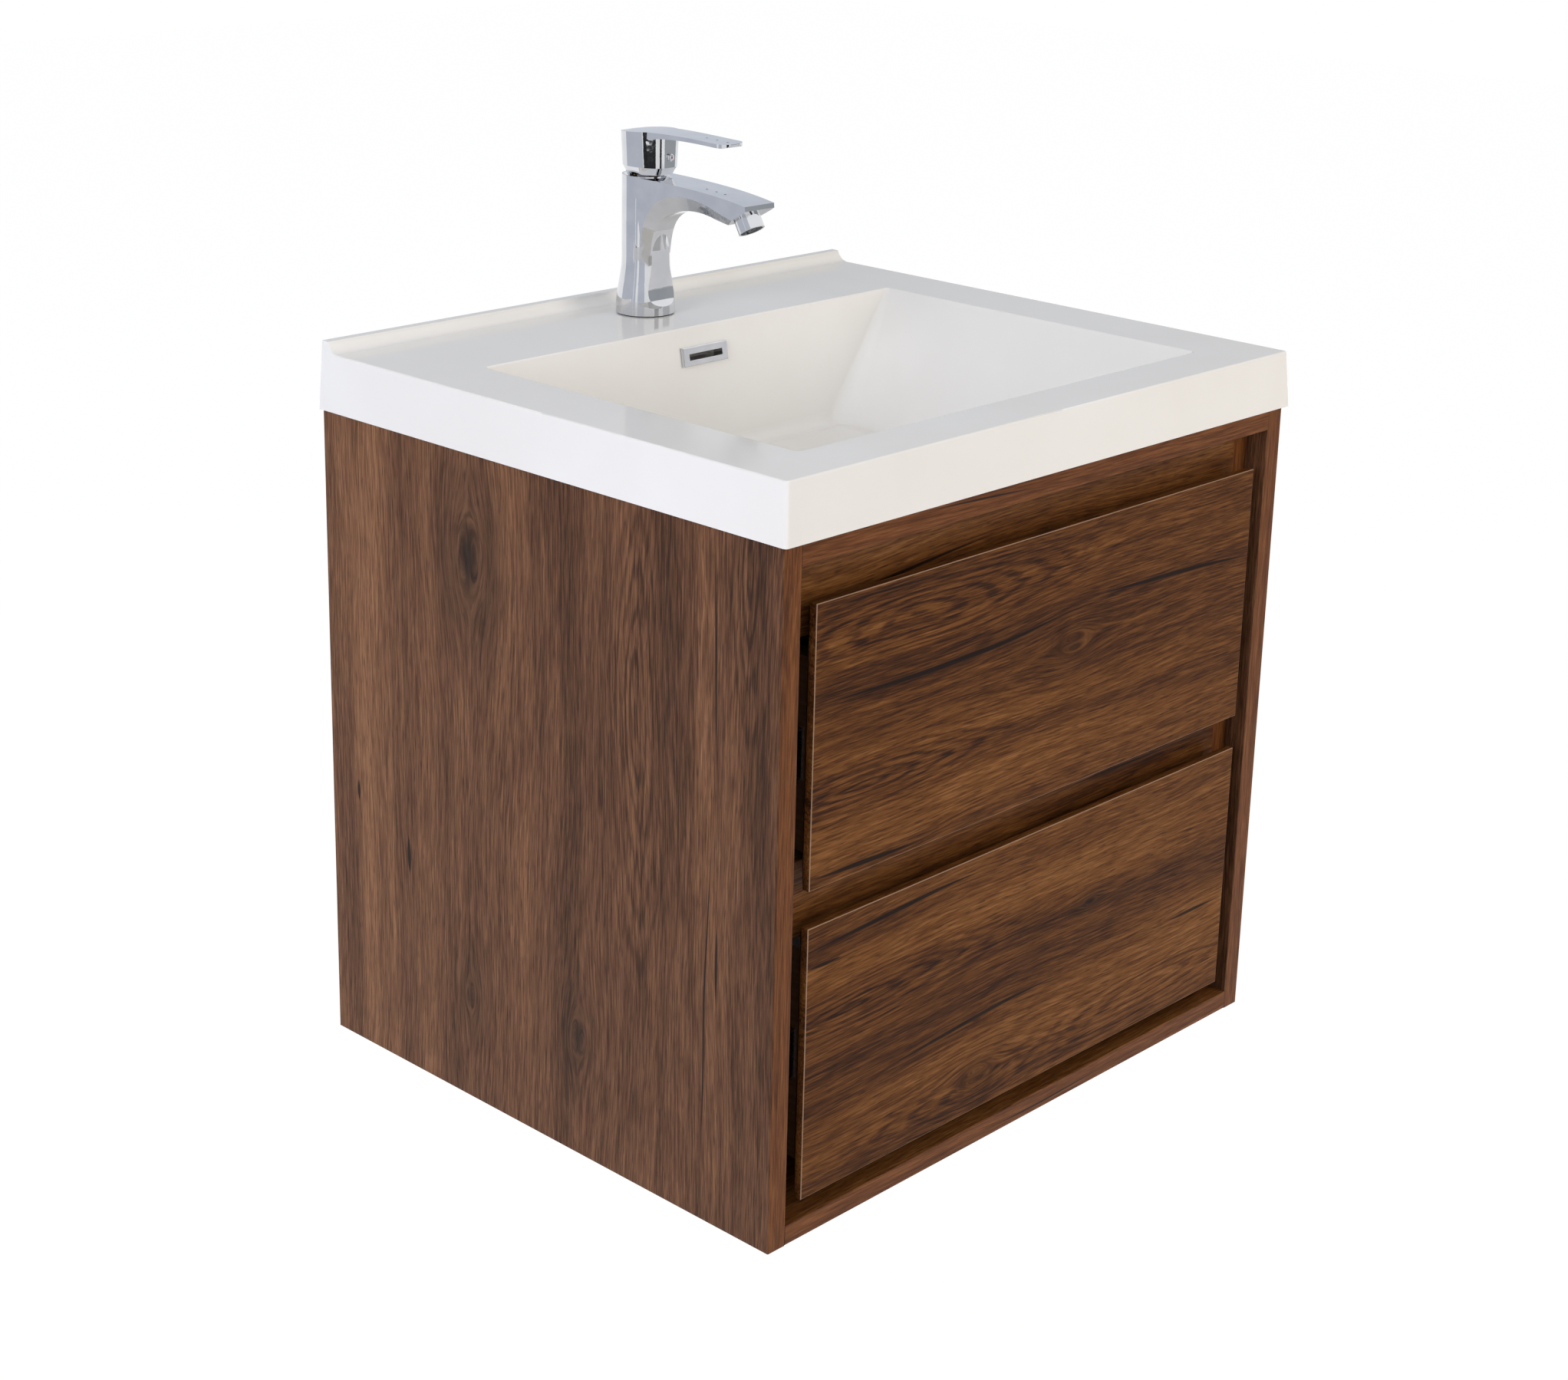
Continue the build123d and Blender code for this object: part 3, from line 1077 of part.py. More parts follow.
def basin_pieces():
    seat_z = BASIN_FLOOR - WASTE_SEAT_DEPTH
    return {
        "basin_top": basin_top(),
        "overflow_trim": overflow_trim(),
        "drain_body": drain_body(),
        "drain_seals": drain_seals(seat_z),
        "drain_nut": drain_nut(),
        "drain_tailpiece": drain_tailpiece(),
        "popup_guide": popup_guide(),
        "drain_plug": drain_plug(),
    }


def tap_pieces():
    return {
        "tap_body": tap_body(),
        "inlet_block": inlet_block(),
        "tap_base_seal": at_tap(ring(TAP_BASE_R - 1.2, TAP_HOLE_R + 0.5, 0, BASE_SEAL_T)),
        "tap_stud": tap_stud(),
        "tap_clamp_seal": clamp_plate(DECK_UNDER - CLAMP_SEAL_T, DECK_UNDER),
        "tap_clamp_plate": clamp_plate(CLAMP_FOOT, DECK_UNDER - CLAMP_SEAL_T),
        "tap_nut": tap_nut(),
        "cartridge_housing": cartridge_housing(),
        "cartridge_nut": cartridge_nut(),
        "cartridge_rotor": cartridge_rotor(),
        "rotor_pin": rotor_pin(),
        "cartridge_spindle": cartridge_spindle(),
        "lever_handle": lever_handle(),
        "lever_set_screw": lever_set_screw(),
        "indicator_plug": indicator_plug(),
        "aerator_housing": aerator_housing(),
        "aerator_insert": aerator_insert(),
    }


def main():
    pieces = {**cabinet_pieces(), **drawer_pieces(), **basin_pieces(), **tap_pieces()}
    for name, shape in pieces.items():
        export_step(shape, f"parts/{name}.step")
    print(len(pieces), "pieces")


main()
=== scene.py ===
# %% [markdown]
# # A wall-hung vanity with a moulded basin top
# The CAD model gives every piece its true size and place. Here it is loaded as a fixed frame, and
# the work is what the eye sees: walnut laminate, cast resin, chrome, and the small pieces that CAD
# leaves plain.

# %% Load the frame
import math

import bmesh
import bpy
from mathutils import Matrix, Vector


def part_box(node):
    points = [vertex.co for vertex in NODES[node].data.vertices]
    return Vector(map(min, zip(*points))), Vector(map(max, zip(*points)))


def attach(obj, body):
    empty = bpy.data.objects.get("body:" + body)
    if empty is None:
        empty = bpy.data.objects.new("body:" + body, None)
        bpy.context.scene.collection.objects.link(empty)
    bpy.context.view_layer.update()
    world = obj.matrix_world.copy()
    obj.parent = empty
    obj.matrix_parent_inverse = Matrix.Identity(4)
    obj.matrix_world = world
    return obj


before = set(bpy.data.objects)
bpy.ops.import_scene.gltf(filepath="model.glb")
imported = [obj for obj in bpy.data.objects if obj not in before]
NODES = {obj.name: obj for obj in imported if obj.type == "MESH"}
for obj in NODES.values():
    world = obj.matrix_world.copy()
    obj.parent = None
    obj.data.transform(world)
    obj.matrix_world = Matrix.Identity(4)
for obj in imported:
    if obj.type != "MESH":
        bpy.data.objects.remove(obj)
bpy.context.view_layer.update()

MM = 0.001

# %% [markdown]
# ## Colours and nodes
# A paint chart gives colours as sRGB hex, but a shader adds and multiplies light, which only works
# on linear values. One function does that change everywhere, so no colour is converted twice.
# A second small function adds a node, sets what it is told and links what it is given. Every
# material below is a list of such calls, which can be read from the coordinates to the surface.

# %% Colour and node helpers


def colour(code):
    """An sRGB hex code as a linear colour with alpha, by the sRGB standard's own formula."""
    parts = [int(code[i:i + 2], 16) / 255 for i in (1, 3, 5)]
    return [p / 12.92 if p <= 0.04045 else ((p + 0.055) / 1.055) ** 2.4 for p in parts] + [1.0]


def add(tree, kind, inputs=None, stops=None, **settings):
    """Adds a node to a tree. inputs are values or sockets by name or number; stops fill a ramp."""
    node = tree.nodes.new("ShaderNode" + kind)
    for name, value in settings.items():
        setattr(node, name, value)
    for name, value in (inputs or {}).items():
        if isinstance(value, bpy.types.NodeSocket):
            tree.links.new(value, node.inputs[name])
        else:
            node.inputs[name].default_value = value
    if stops:
        ramp = node.color_ramp.elements
        while len(ramp) < len(stops):
            ramp.new(1.0)
        for element, (place, code) in zip(ramp, stops):
            element.position = place
            element.color = colour(code)
    return node


def new_material(name):
    """An empty node material and its shader."""
    material = bpy.data.materials.new(name)
    material.use_nodes = True
    return material, material.node_tree, material.node_tree.nodes["Principled BSDF"]


def finish_nodes(material, *names):
    """Gives CAD nodes this material."""
    for name in names:
        mesh = NODES[name].data
        mesh.materials.clear()
        mesh.materials.append(material)
    print(material.name, "on", len(names), "CAD nodes")


def new_piece(name, bm, material):
    """Turns a bmesh into an object with one material and puts it in the scene."""
    mesh = bpy.data.meshes.new(name)
    bm.to_mesh(mesh)
    bm.free()
    mesh.materials.append(material)
    piece = bpy.data.objects.new(name, mesh)
    bpy.context.scene.collection.objects.link(piece)
    return piece


print("sRGB #808080 is", round(colour("#808080")[0], 3), "of white in linear light")


# %% [markdown]
# ## Walnut laminate
# Real walnut laminate is a printed paper under melamine resin, pressed against an etched steel
# plate: the plate leaves shallow pores that run with the print, and its matt texture takes away
# most of the mirror-like part of the reflection. An image would be the usual way to show it. Nodes
# are used here, because they follow each board's own length, never tile and can be given knots and
# shakes where they are wanted.
#
# The pattern is built in layers, each stretched along the board: broad strips of tone, streaks,
# fibres about a millimetre wide, then knots that push the grain aside, cathedral figure and dark
# shakes. Object coordinates are in metres, so every scale below is one over a size in metres.

# %% Walnut laminate material
AXES = {"x": 0, "y": 1, "z": 2}

# One layer of noise each: cells per metre across and along the board, detail, roughness, and a
# number that sets it apart from the others.
WANDER = (7.0, 2.2, 2.0, 0.5, 1)
STRIPS = (22.0, 1.3, 3.0, 0.55, 2)
STREAKS = (120.0, 4.0, 4.0, 0.65, 3)
FIBRES = (760.0, 32.0, 3.0, 0.62, 4)
PORES = (1100.0, 60.0, 1.0, 0.5, 5)
LAYER_STEP = 7.3            # distance in the noise from one layer's place to the next

AVERAGE = 0.5               # what noise comes to on average
WANDER_SHARE = 0.030        # metres the grain moves sideways for one unit of noise
STRIP_SHARE = 0.78          # how much each layer adds to the tone
STREAK_SHARE = 0.36
FIBRE_SHARE = 0.95
RING_SHARE = -0.19          # the rings darken it
TONE_STOPS = (0.20, 0.36, 0.50, 0.64, 0.82)
BAND_STOPS = (0.36, 0.50, 0.64)

KNOT_SLIM = 0.42            # what distance along the board counts for, which draws a knot out
KNOT_PUSH = -1.6            # strength of the push round a knot, half of it felt at one radius
HALO_SHARE = 0.45           # how dark the stain round a knot is beside its core
SWIRL_SLIM = 0.14           # the same as for a knot, and far more drawn out
RING_PITCH = 0.0050         # metres from one ring to the next
SHAKE_DEPTH = 0.94          # how fully a shake hides the wood
SHAKE_TONE = "#160C07"
SEAM_HALF = 0.0006          # half the width over which the tone steps
PORE_SHARE = 0.55           # how dark a pore is
# pale tone painted on the fronts' arrises: a painted highlight
ARRIS_HIGHLIGHT_TONE = "#A98C74"


def walnut(name, along, across, tones, seed=(0.0, 0.0, 0.0), knots=(), swirls=(), shakes=(),
           seam=None, band=None, arris_highlight=0.0, gloss=0.18):
    """Walnut laminate. along and across are the board's axes; tones run from dark to light.
    knots are (along, across, radius, darkness), swirls (along, across, spread), shakes
    (start along, start across, end along, end across, half width), all lengths in metres. seam
    is where two sheets of print meet, band the tones of an edge that faces the front, and
    arris_highlight how strongly the arrises are painted pale, a painted highlight along the
    rounded edges. gloss is how much of the mirror-like reflection the etched surface keeps."""
    material, tree, shader = new_material(name)
    coords = add(tree, "TexCoord")
    place = add(tree, "SeparateXYZ", {0: coords.outputs["Object"]})
    long = place.outputs[AXES[along]]
    wide = place.outputs[AXES[across]]
    deep = place.outputs[sum(AXES.values()) - AXES[along] - AXES[across]]

    def stretched(wide_socket, per_wide, per_long, detail, rough, number):
        """Noise drawn out along the board."""
        flat = add(tree, "CombineXYZ", {0: wide_socket, 1: deep, 2: long})
        scaled = add(tree, "Mapping", {0: flat.outputs[0], "Scale": (per_wide, per_wide, per_long),
                                       "Location": [s + number * LAYER_STEP for s in seed]})
        noise = add(tree, "TexNoise", {"Vector": scaled.outputs[0], "Scale": 1.0, "Detail": detail,
                                       "Roughness": rough})
        return noise.outputs["Fac"]

    def math_node(operation, a, b=0.0, c=0.0):
        """One sum on sockets or numbers."""
        return add(tree, "Math", {0: a, 1: b, 2: c}, operation=operation).outputs[0]

    def ranged(value, low, high, start=0.0, end=1.0):
        """Eases from start to end while the value goes from low to high."""
        return add(tree, "MapRange", {"Value": value, "From Min": low, "From Max": high,
                                      "To Min": start, "To Max": end},
                   interpolation_type="SMOOTHSTEP").outputs[0]

    def over(factor, under, top):
        """One colour over another; top is a hex code or a socket."""
        node = add(tree, "MixRGB", {"Fac": factor, "Color1": under,
                                    "Color2": colour(top) if isinstance(top, str) else top})
        return node.outputs[0]

    def layered(tone, noise, share):
        """Adds a layer's swing about its average to the tone."""
        return math_node("MULTIPLY_ADD", math_node("SUBTRACT", noise, AVERAGE), share, tone)

    def strongest(marks, mark):
        """The stronger of what is marked already, if anything is, and a new mark."""
        return mark if marks is None else math_node("MAXIMUM", marks, mark)

    # The grain wanders sideways by some millimetres over a few hundred.
    grain = layered(wide, stretched(wide, *WANDER), WANDER_SHARE)

    dark = None
    for knot_long, knot_wide, radius, depth in knots:
        side = math_node("SUBTRACT", grain, knot_wide)
        down = math_node("MULTIPLY", math_node("SUBTRACT", long, knot_long), KNOT_SLIM)
        square = math_node("MULTIPLY_ADD", side, side, math_node("MULTIPLY", down, down))
        swell = math_node("DIVIDE", math_node("MULTIPLY", side, KNOT_PUSH * radius * radius),
                          math_node("ADD", square, radius * radius))
        grain = math_node("ADD", grain, swell)
        away = math_node("SQRT", square)
        core = ranged(away, 1.25 * radius, 0.1 * radius, 0.0, depth)
        halo = ranged(away, 3.4 * radius, 0.7 * radius, 0.0, HALO_SHARE * depth)
        dark = strongest(dark, math_node("MAXIMUM", core, halo))

    strips = stretched(grain, *STRIPS)
    streaks = stretched(grain, *STREAKS)
    fibres = stretched(grain, *FIBRES)
    pores = stretched(grain, *PORES)
    tone = layered(AVERAGE, strips, STRIP_SHARE)
    tone = layered(tone, streaks, STREAK_SHARE)
    tone = layered(tone, fibres, FIBRE_SHARE)

    # Cathedral figure: rings drawn out along the board, made ragged by the layers above.
    rings = None
    for swirl_long, swirl_wide, spread in swirls:
        side = math_node("SUBTRACT", grain, swirl_wide)
        down = math_node("MULTIPLY", math_node("SUBTRACT", long, swirl_long), SWIRL_SLIM)
        away = math_node("SQRT", math_node("MULTIPLY_ADD", side, side,
                                           math_node("MULTIPLY", down, down)))
        ripple = math_node("MULTIPLY_ADD", streaks, 16.0, math_node("MULTIPLY", strips, 22.0))
        wave = math_node("SINE", math_node("MULTIPLY_ADD", away, 2 * math.pi / RING_PITCH, ripple))
        near = ranged(away, spread, 0.2 * spread)
        rings = strongest(rings, math_node("MULTIPLY", ranged(wave, -0.2, 1.0), near))
    if rings is not None:
        tone = math_node("MULTIPLY_ADD", rings, RING_SHARE, tone)

    # A shake is a straight crack that the wandering grain bends, widest at half its length.
    for long0, wide0, long1, wide1, half_w in shakes:
        slope = (wide1 - wide0) / (long1 - long0)
        line = math_node("MULTIPLY_ADD", long, slope, wide0 - slope * long0)
        off = math_node("ABSOLUTE", math_node("SUBTRACT", grain, line))
        span = add(tree, "MapRange", {"Value": long, "From Min": long0, "From Max": long1,
                                      "To Max": math.pi}).outputs[0]
        width = math_node("MULTIPLY_ADD", math_node("SINE", span), half_w,
                          math_node("MULTIPLY_ADD", fibres, 0.0020, -0.0015))
        gap = math_node("SUBTRACT", off, width)
        dark = strongest(dark, ranged(gap, 0.0009, -0.0001, 0.0, SHAKE_DEPTH))

    if seam is not None:
        step = ranged(wide, seam - SEAM_HALF, seam + SEAM_HALF, -0.03, 0.06)
        tone = math_node("ADD", tone, step)
    paint = add(tree, "ValToRGB", {0: tone}, stops=list(zip(TONE_STOPS, tones))).outputs[0]
    paint = over(ranged(pores, 0.57, 0.68, 0.0, PORE_SHARE), paint, tones[0])

    normal = add(tree, "SeparateXYZ", {0: coords.outputs["Normal"]})
    ahead = math_node("MULTIPLY", normal.outputs[1], -1.0)
    if band:
        fine = math_node("MULTIPLY_ADD", fibres, 0.6, math_node("MULTIPLY", streaks, 0.4))
        edge = add(tree, "ValToRGB", {0: fine}, stops=list(zip(BAND_STOPS, band)))
        paint = over(ranged(ahead, 0.80, 0.97), paint, edge.outputs[0])
    if dark is not None:
        paint = over(dark, paint, SHAKE_TONE)
    if arris_highlight:
        # An arris faces partly ahead: more than the board's edge does, less than its face. It is
        # painted pale there, a painted highlight along the rounded edge.
        arris_highlight_mask = math_node("MULTIPLY", ranged(ahead, 0.08, 0.35),
                           ranged(ahead, 0.995, 0.90, 0.0, arris_highlight))
        paint = over(arris_highlight_mask, paint, ARRIS_HIGHLIGHT_TONE)

    tree.links.new(paint, shader.inputs["Base Color"])
    relief = math_node("MULTIPLY_ADD", ranged(pores, 0.56, 0.70), -0.6, fibres)
    bump = add(tree, "Bump", {"Height": relief, "Strength": 0.35, "Distance": 0.25 * MM})
    tree.links.new(bump.outputs[0], shader.inputs["Normal"])
    shader.inputs["Specular IOR Level"].default_value = gloss
    tree.links.new(ranged(fibres, 0.3, 0.7, 0.56, 0.46), shader.inputs["Roughness"])
    return material


print("walnut from five layers of noise, fibres", round(1 / FIBRES[0] / MM, 1), "mm wide")

# %% [markdown]
# Boards cut from one pattern never match, so each gets its own grain direction, seed and features.
# The cabinet's sides stand with the grain upright; the fronts and the rails lie with it level.

# %% Walnut boards
# Positions are measured along and across each board from the row's origin, in metres.
SIDE_TONES = ("#321C10", "#4F321F", "#65432D", "#785238", "#916848")
FRONT_TONES = ("#25130A", "#452711", "#5D3819", "#704722", "#8A5E35")
BAND_TONES = ("#45250F", "#633818", "#7C4D27")

left_side = walnut(
    "walnut_laminate_left_side", "z", "y", SIDE_TONES, seed=(0.3, 1.1, 2.0),
    knots=[(-0.048, -0.174, 0.018, 0.9), (-0.415, -0.174, 0.008, 0.6),
           (-0.405, -0.299, 0.010, 0.8)],
    swirls=[(-0.13, -0.36, 0.045), (0.01, -0.47, 0.03)],
    shakes=[(0.03, -0.436, -0.15, -0.441, 0.0010), (-0.20, -0.437, -0.47, -0.427, 0.0011),
            (-0.26, -0.445, -0.33, -0.446, 0.0016), (-0.30, -0.099, -0.335, -0.099, 0.0022),
            (-0.27, -0.035, -0.29, -0.035, 0.0019)],
    seam=-0.078, band=BAND_TONES)
right_side = walnut(
    "walnut_laminate_right_side", "z", "y", SIDE_TONES, seed=(5.3, 3.1, 0.7),
    knots=[(-0.31, -0.33, 0.012, 0.8), (-0.09, -0.12, 0.009, 0.7)],
    swirls=[(-0.22, -0.22, 0.05)], shakes=[(0.0, -0.40, -0.22, -0.405, 0.0011)],
    seam=-0.43, band=BAND_TONES)
level_rails = walnut(
    "walnut_laminate_rails", "x", "z", FRONT_TONES, seed=(2.2, 4.0, 8.1),
    shakes=[(-0.24, -0.022, -0.05, -0.018, 0.0014), (0.05, -0.24, 0.2, -0.243, 0.0011)])
banded_boards = walnut(
    "walnut_laminate_banded_boards", "x", "z", FRONT_TONES, seed=(7.2, 1.0, 3.3),
    shakes=[(-0.15, 0.028, -0.02, 0.024, 0.0010), (-0.05, -0.497, 0.1, -0.494, 0.0010)],
    band=BAND_TONES)
fillers = walnut("walnut_laminate_fillers", "z", "y", FRONT_TONES, seed=(1.2, 6.0, 4.4),
                 band=BAND_TONES)
# Both drawer fronts get a painted highlight along their arrises.
upper_front = walnut(
    "walnut_laminate_upper_front", "x", "z", FRONT_TONES, seed=(3.9, 0.2, 6.6),
    knots=[(0.032, -0.112, 0.010, 0.35)],
    swirls=[(-0.155, -0.045, 0.05), (-0.205, -0.160, 0.035)],
    shakes=[(-0.250, -0.090, 0.030, -0.093, 0.0022), (0.060, -0.086, 0.265, -0.093, 0.0019),
            (-0.262, -0.215, -0.140, -0.219, 0.0019), (-0.24, -0.018, -0.12, -0.020, 0.0008)],
    arris_highlight=0.75, gloss=0.08)
lower_front = walnut(
    "walnut_laminate_lower_front", "x", "z", FRONT_TONES, seed=(8.8, 5.2, 1.9),
    knots=[(0.073, -0.339, 0.004, 0.95), (-0.063, -0.445, 0.010, 0.3)],
    swirls=[(-0.214, -0.331, 0.04), (0.16, -0.44, 0.05), (-0.063, -0.448, 0.03)],
    shakes=[(-0.262, -0.272, -0.070, -0.272, 0.0019), (-0.180, -0.403, 0.035, -0.395, 0.0018),
            (0.180, -0.390, 0.255, -0.393, 0.0014), (-0.262, -0.285, -0.225, -0.287, 0.0016)],
    arris_highlight=0.75, gloss=0.08)
finish_nodes(left_side, "left_side_panel")
finish_nodes(right_side, "right_side_panel")
finish_nodes(level_rails, "upper_recess_rail", "middle_recess_rail", "hanging_rail",
             "lower_back_rail")
finish_nodes(banded_boards, "top_front_rail", "bottom_panel")
finish_nodes(fillers, "left_filler_panel", "right_filler_panel")
finish_nodes(upper_front, "upper_drawer_front")
finish_nodes(lower_front, "lower_drawer_front")

# %% [markdown]
# ## Cast resin
# The top is mineral filler in polyester resin, cast in a mould with a clear gel coat. It is white
# with a little warmth, very smooth, and reflects like glazed china. A trace of unevenness in tone
# and in the coat's surface keeps the reflections from looking like glass.

# %% Resin top
resin, tree, shader = new_material("cast_resin_gel_coat")
coords = add(tree, "TexCoord")
cloud = add(tree, "TexNoise", {"Vector": coords.outputs["Object"], "Scale": 9.0, "Detail": 3.0})
tint = add(tree, "ValToRGB", {0: cloud.outputs["Fac"]}, stops=[(0.3, "#E9E7E2"), (0.7, "#EDECE8")])
ripple = add(tree, "TexNoise", {"Vector": coords.outputs["Object"], "Scale": 35.0, "Detail": 1.0})
bump = add(tree, "Bump", {"Height": ripple.outputs["Fac"], "Strength": 0.10, "Distance": 0.4 * MM})
tree.links.new(tint.outputs[0], shader.inputs["Base Color"])
tree.links.new(bump.outputs[0], shader.inputs["Normal"])
shader.inputs["Roughness"].default_value = 0.10
shader.inputs["IOR"].default_value = 1.52
finish_nodes(resin, "basin_top")

# %% [markdown]
# ## Metals, plastics and rubber
# Chrome is a film a few ten-thousandths of a millimetre thick over nickel. It has no colour of its
# own, so the eye reads it from what it mirrors; only a faint haze of fine wiping marks is added.

# %% Chrome and the small materials


def plain_finish(name, base, variation, roughness, metallic=0.0, scale=400.0, relief=0.02,
                 stretch=(1.0, 1.0, 1.0)):
    """A one-colour finish with fine noise in its tone and a matching relief in its surface.
    stretch scales the noise along x, y and z; a small number draws it out that way."""
    material, tree, shader = new_material(name)
    coords = add(tree, "TexCoord")
    drawn = add(tree, "Mapping", {0: coords.outputs["Object"], "Scale": stretch})
    grit = add(tree, "TexNoise", {"Vector": drawn.outputs[0], "Scale": scale, "Detail": 2.0})
    tint = add(tree, "ValToRGB", {0: grit.outputs["Fac"]}, stops=[(0.35, variation), (0.65, base)])
    bump = add(tree, "Bump", {"Height": grit.outputs["Fac"], "Strength": relief,
                              "Distance": 0.1 * MM})
    tree.links.new(tint.outputs[0], shader.inputs["Base Color"])
    tree.links.new(bump.outputs[0], shader.inputs["Normal"])
    shader.inputs["Metallic"].default_value = metallic
    shader.inputs["Roughness"].default_value = roughness
    return material


chrome = plain_finish("chrome_plate", "#DCDDE0", "#D4D6DA", 0.035, metallic=1.0, scale=60.0,
                      relief=0.01)
zinc = plain_finish("zinc_plated_steel", "#B9BCC0", "#9A9DA2", 0.34, metallic=1.0, scale=900.0,
                    relief=0.15, stretch=(1.0, 0.04, 1.0))
brass = plain_finish("turned_brass", "#C8A460", "#B08A4A", 0.30, metallic=1.0, scale=500.0,
                     relief=0.1)
rubber = plain_finish("moulded_rubber", "#1A1A1A", "#141414", 0.70, scale=700.0, relief=0.3)
grey_plastic = plain_finish("moulded_acetal", "#C6C8CB", "#BBBDC0", 0.42, scale=600.0,
                            relief=0.15)
white_plastic = plain_finish("moulded_polypropylene", "#E4E3DF", "#DAD9D5", 0.45, scale=600.0,
                             relief=0.2)
dark_plastic = plain_finish("dark_acetal_mesh", "#3A3B3D", "#2C2D2F", 0.40, scale=600.0,
                            relief=0.15)
board = plain_finish("melamine_faced_board", "#6B4B35", "#5C3F2C", 0.45, scale=260.0, relief=0.15,
                     stretch=(1.0, 0.08, 1.0))
beech = plain_finish("beech", "#C39A6B", "#A87F52", 0.60, scale=500.0, relief=0.3,
                     stretch=(0.1, 1.0, 1.0))

finish_nodes(chrome, "tap_body", "lever_handle", "indicator_plug", "aerator_housing",
             "overflow_trim", "drain_body", "drain_plug", "drain_tailpiece")
slides = [f"{level}_slide_{part}_rails" for level in ("upper", "lower")
          for part in ("cabinet", "middle", "drawer")]
finish_nodes(zinc, *slides, "slide_screws", "upper_drawer_screws", "lower_drawer_screws",
             "tap_stud", "tap_clamp_plate", "rotor_pin", "lever_set_screw")
finish_nodes(brass, "tap_nut", "inlet_block", "cartridge_nut", "cartridge_spindle")
finish_nodes(rubber, "drain_seals", "tap_base_seal", "tap_clamp_seal")
finish_nodes(grey_plastic, "popup_guide", "cartridge_housing", "cartridge_rotor")
finish_nodes(dark_plastic, "aerator_insert")
finish_nodes(white_plastic, "drain_nut")
boxes = [f"{level}_drawer_{part}" for level in ("upper", "lower")
         for part in ("left_side", "right_side", "bottom")]
finish_nodes(board, *boxes, "upper_drawer_back_panels", "upper_drawer_cutout_sides",
             "upper_drawer_cutout_front", "lower_drawer_back", "corner_blocks")
finish_nodes(beech, "cabinet_dowels", "upper_drawer_dowels", "lower_drawer_dowels")

# %% [markdown]
# ## Marks on the tap
# Three small dark dots lie on the blade and three on the spout, each about two millimetres across,
# and the temperature button has a red centre. Whether the real dots are sunk isn't known. A thin
# disc lying on the chrome reads as either, and is placed by casting a ray down on the finished
# metal, so it stays right if the tap is made again with other sizes.

# %% Dots and the button's centre
# Each dot is a thin disc painted a flat dark grey on the chrome.
dot_dark = plain_finish("dark_dot_discs", "#3A3C40", "#2E3034", 0.50, scale=900.0, relief=0.05)
red_ink = plain_finish("red_enamel", "#B0161B", "#9C1015", 0.25, scale=900.0, relief=0.05)
DISC_T = 0.06 * MM                       # thickness of a disc


def disc(name, radius, long, place, facing, material, body):
    """A thin disc centred on a surface and facing along its normal. radius is its half
    width and long its half length."""
    bm = bmesh.new()
    bmesh.ops.create_cone(bm, cap_ends=True, segments=24, radius1=radius, radius2=radius * 0.9,
                          depth=DISC_T)
    bmesh.ops.scale(bm, verts=bm.verts, vec=(1.0, long / radius, 1.0))
    turn = Vector(facing).to_track_quat("Z", "Y").to_matrix().to_4x4()
    bmesh.ops.transform(bm, verts=bm.verts, matrix=Matrix.Translation(place) @ turn)
    bmesh.ops.recalc_face_normals(bm, faces=bm.faces)
    piece = new_piece(name, bm, material)
    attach(piece, body)


def surface(node, start, way):
    """Where a ray first meets a CAD node, and the normal there."""
    found, place, facing, _ = NODES[node].ray_cast(Vector(start), Vector(way))
    assert found, node
    return place, facing


DOT_R, DOT_LONG = 1.0 * MM, 1.3 * MM
TAP_Y = -57.5 * MM                      # the tap's axis
BLADE_DOTS, SPOUT_DOTS = (71, 83, 95), (77, 88, 98)     # millimetres ahead of that axis
SPOUT_DOT_X = -5 * MM                   # the spout's dots lie a little to the left
ABOVE = 1                               # rays start a metre up, over everything
LEVER, BASE = "tap_lever", "cabinet"
for i, ahead in enumerate(BLADE_DOTS):
    place, facing = surface("lever_handle", (0, TAP_Y - ahead * MM, ABOVE), (0, 0, -1))
    disc(f"blade_dot_{i}", DOT_R, DOT_LONG, place, facing, dot_dark, LEVER)
for i, ahead in enumerate(SPOUT_DOTS):
    place, facing = surface("tap_body", (SPOUT_DOT_X, TAP_Y - ahead * MM, ABOVE), (0, 0, -1))
    disc(f"spout_dot_{i}", DOT_R, DOT_LONG, place, facing, dot_dark, BASE)

DOME_R, DOME_RISE = 3.3 * MM, 0.4       # the rise is a share of the radius
CENTRE_R = 0.8 * MM
IN_FRONT = 50 * MM                      # where the ray to the button starts
low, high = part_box("indicator_plug")
middle = (0, low[1] - IN_FRONT, (low[2] + high[2]) / 2)
place, _ = surface("indicator_plug", middle, (0, 1, 0))
bm = bmesh.new()
bmesh.ops.create_uvsphere(bm, u_segments=32, v_segments=16, radius=DOME_R)
bmesh.ops.scale(bm, verts=bm.verts, vec=(1.0, DOME_RISE, 1.0))
bmesh.ops.translate(bm, verts=bm.verts, vec=place)
for face in bm.faces:
    face.smooth = True
dome = new_piece("button_dome", bm, chrome)
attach(dome, LEVER)
crown = Vector((place.x, place.y - DOME_RISE * DOME_R, place.z))
disc("button_centre", CENTRE_R, CENTRE_R, crown, (0, -1, 0), red_ink, LEVER)
print("six dots, and the button's dome at", [round(v, 4) for v in place])

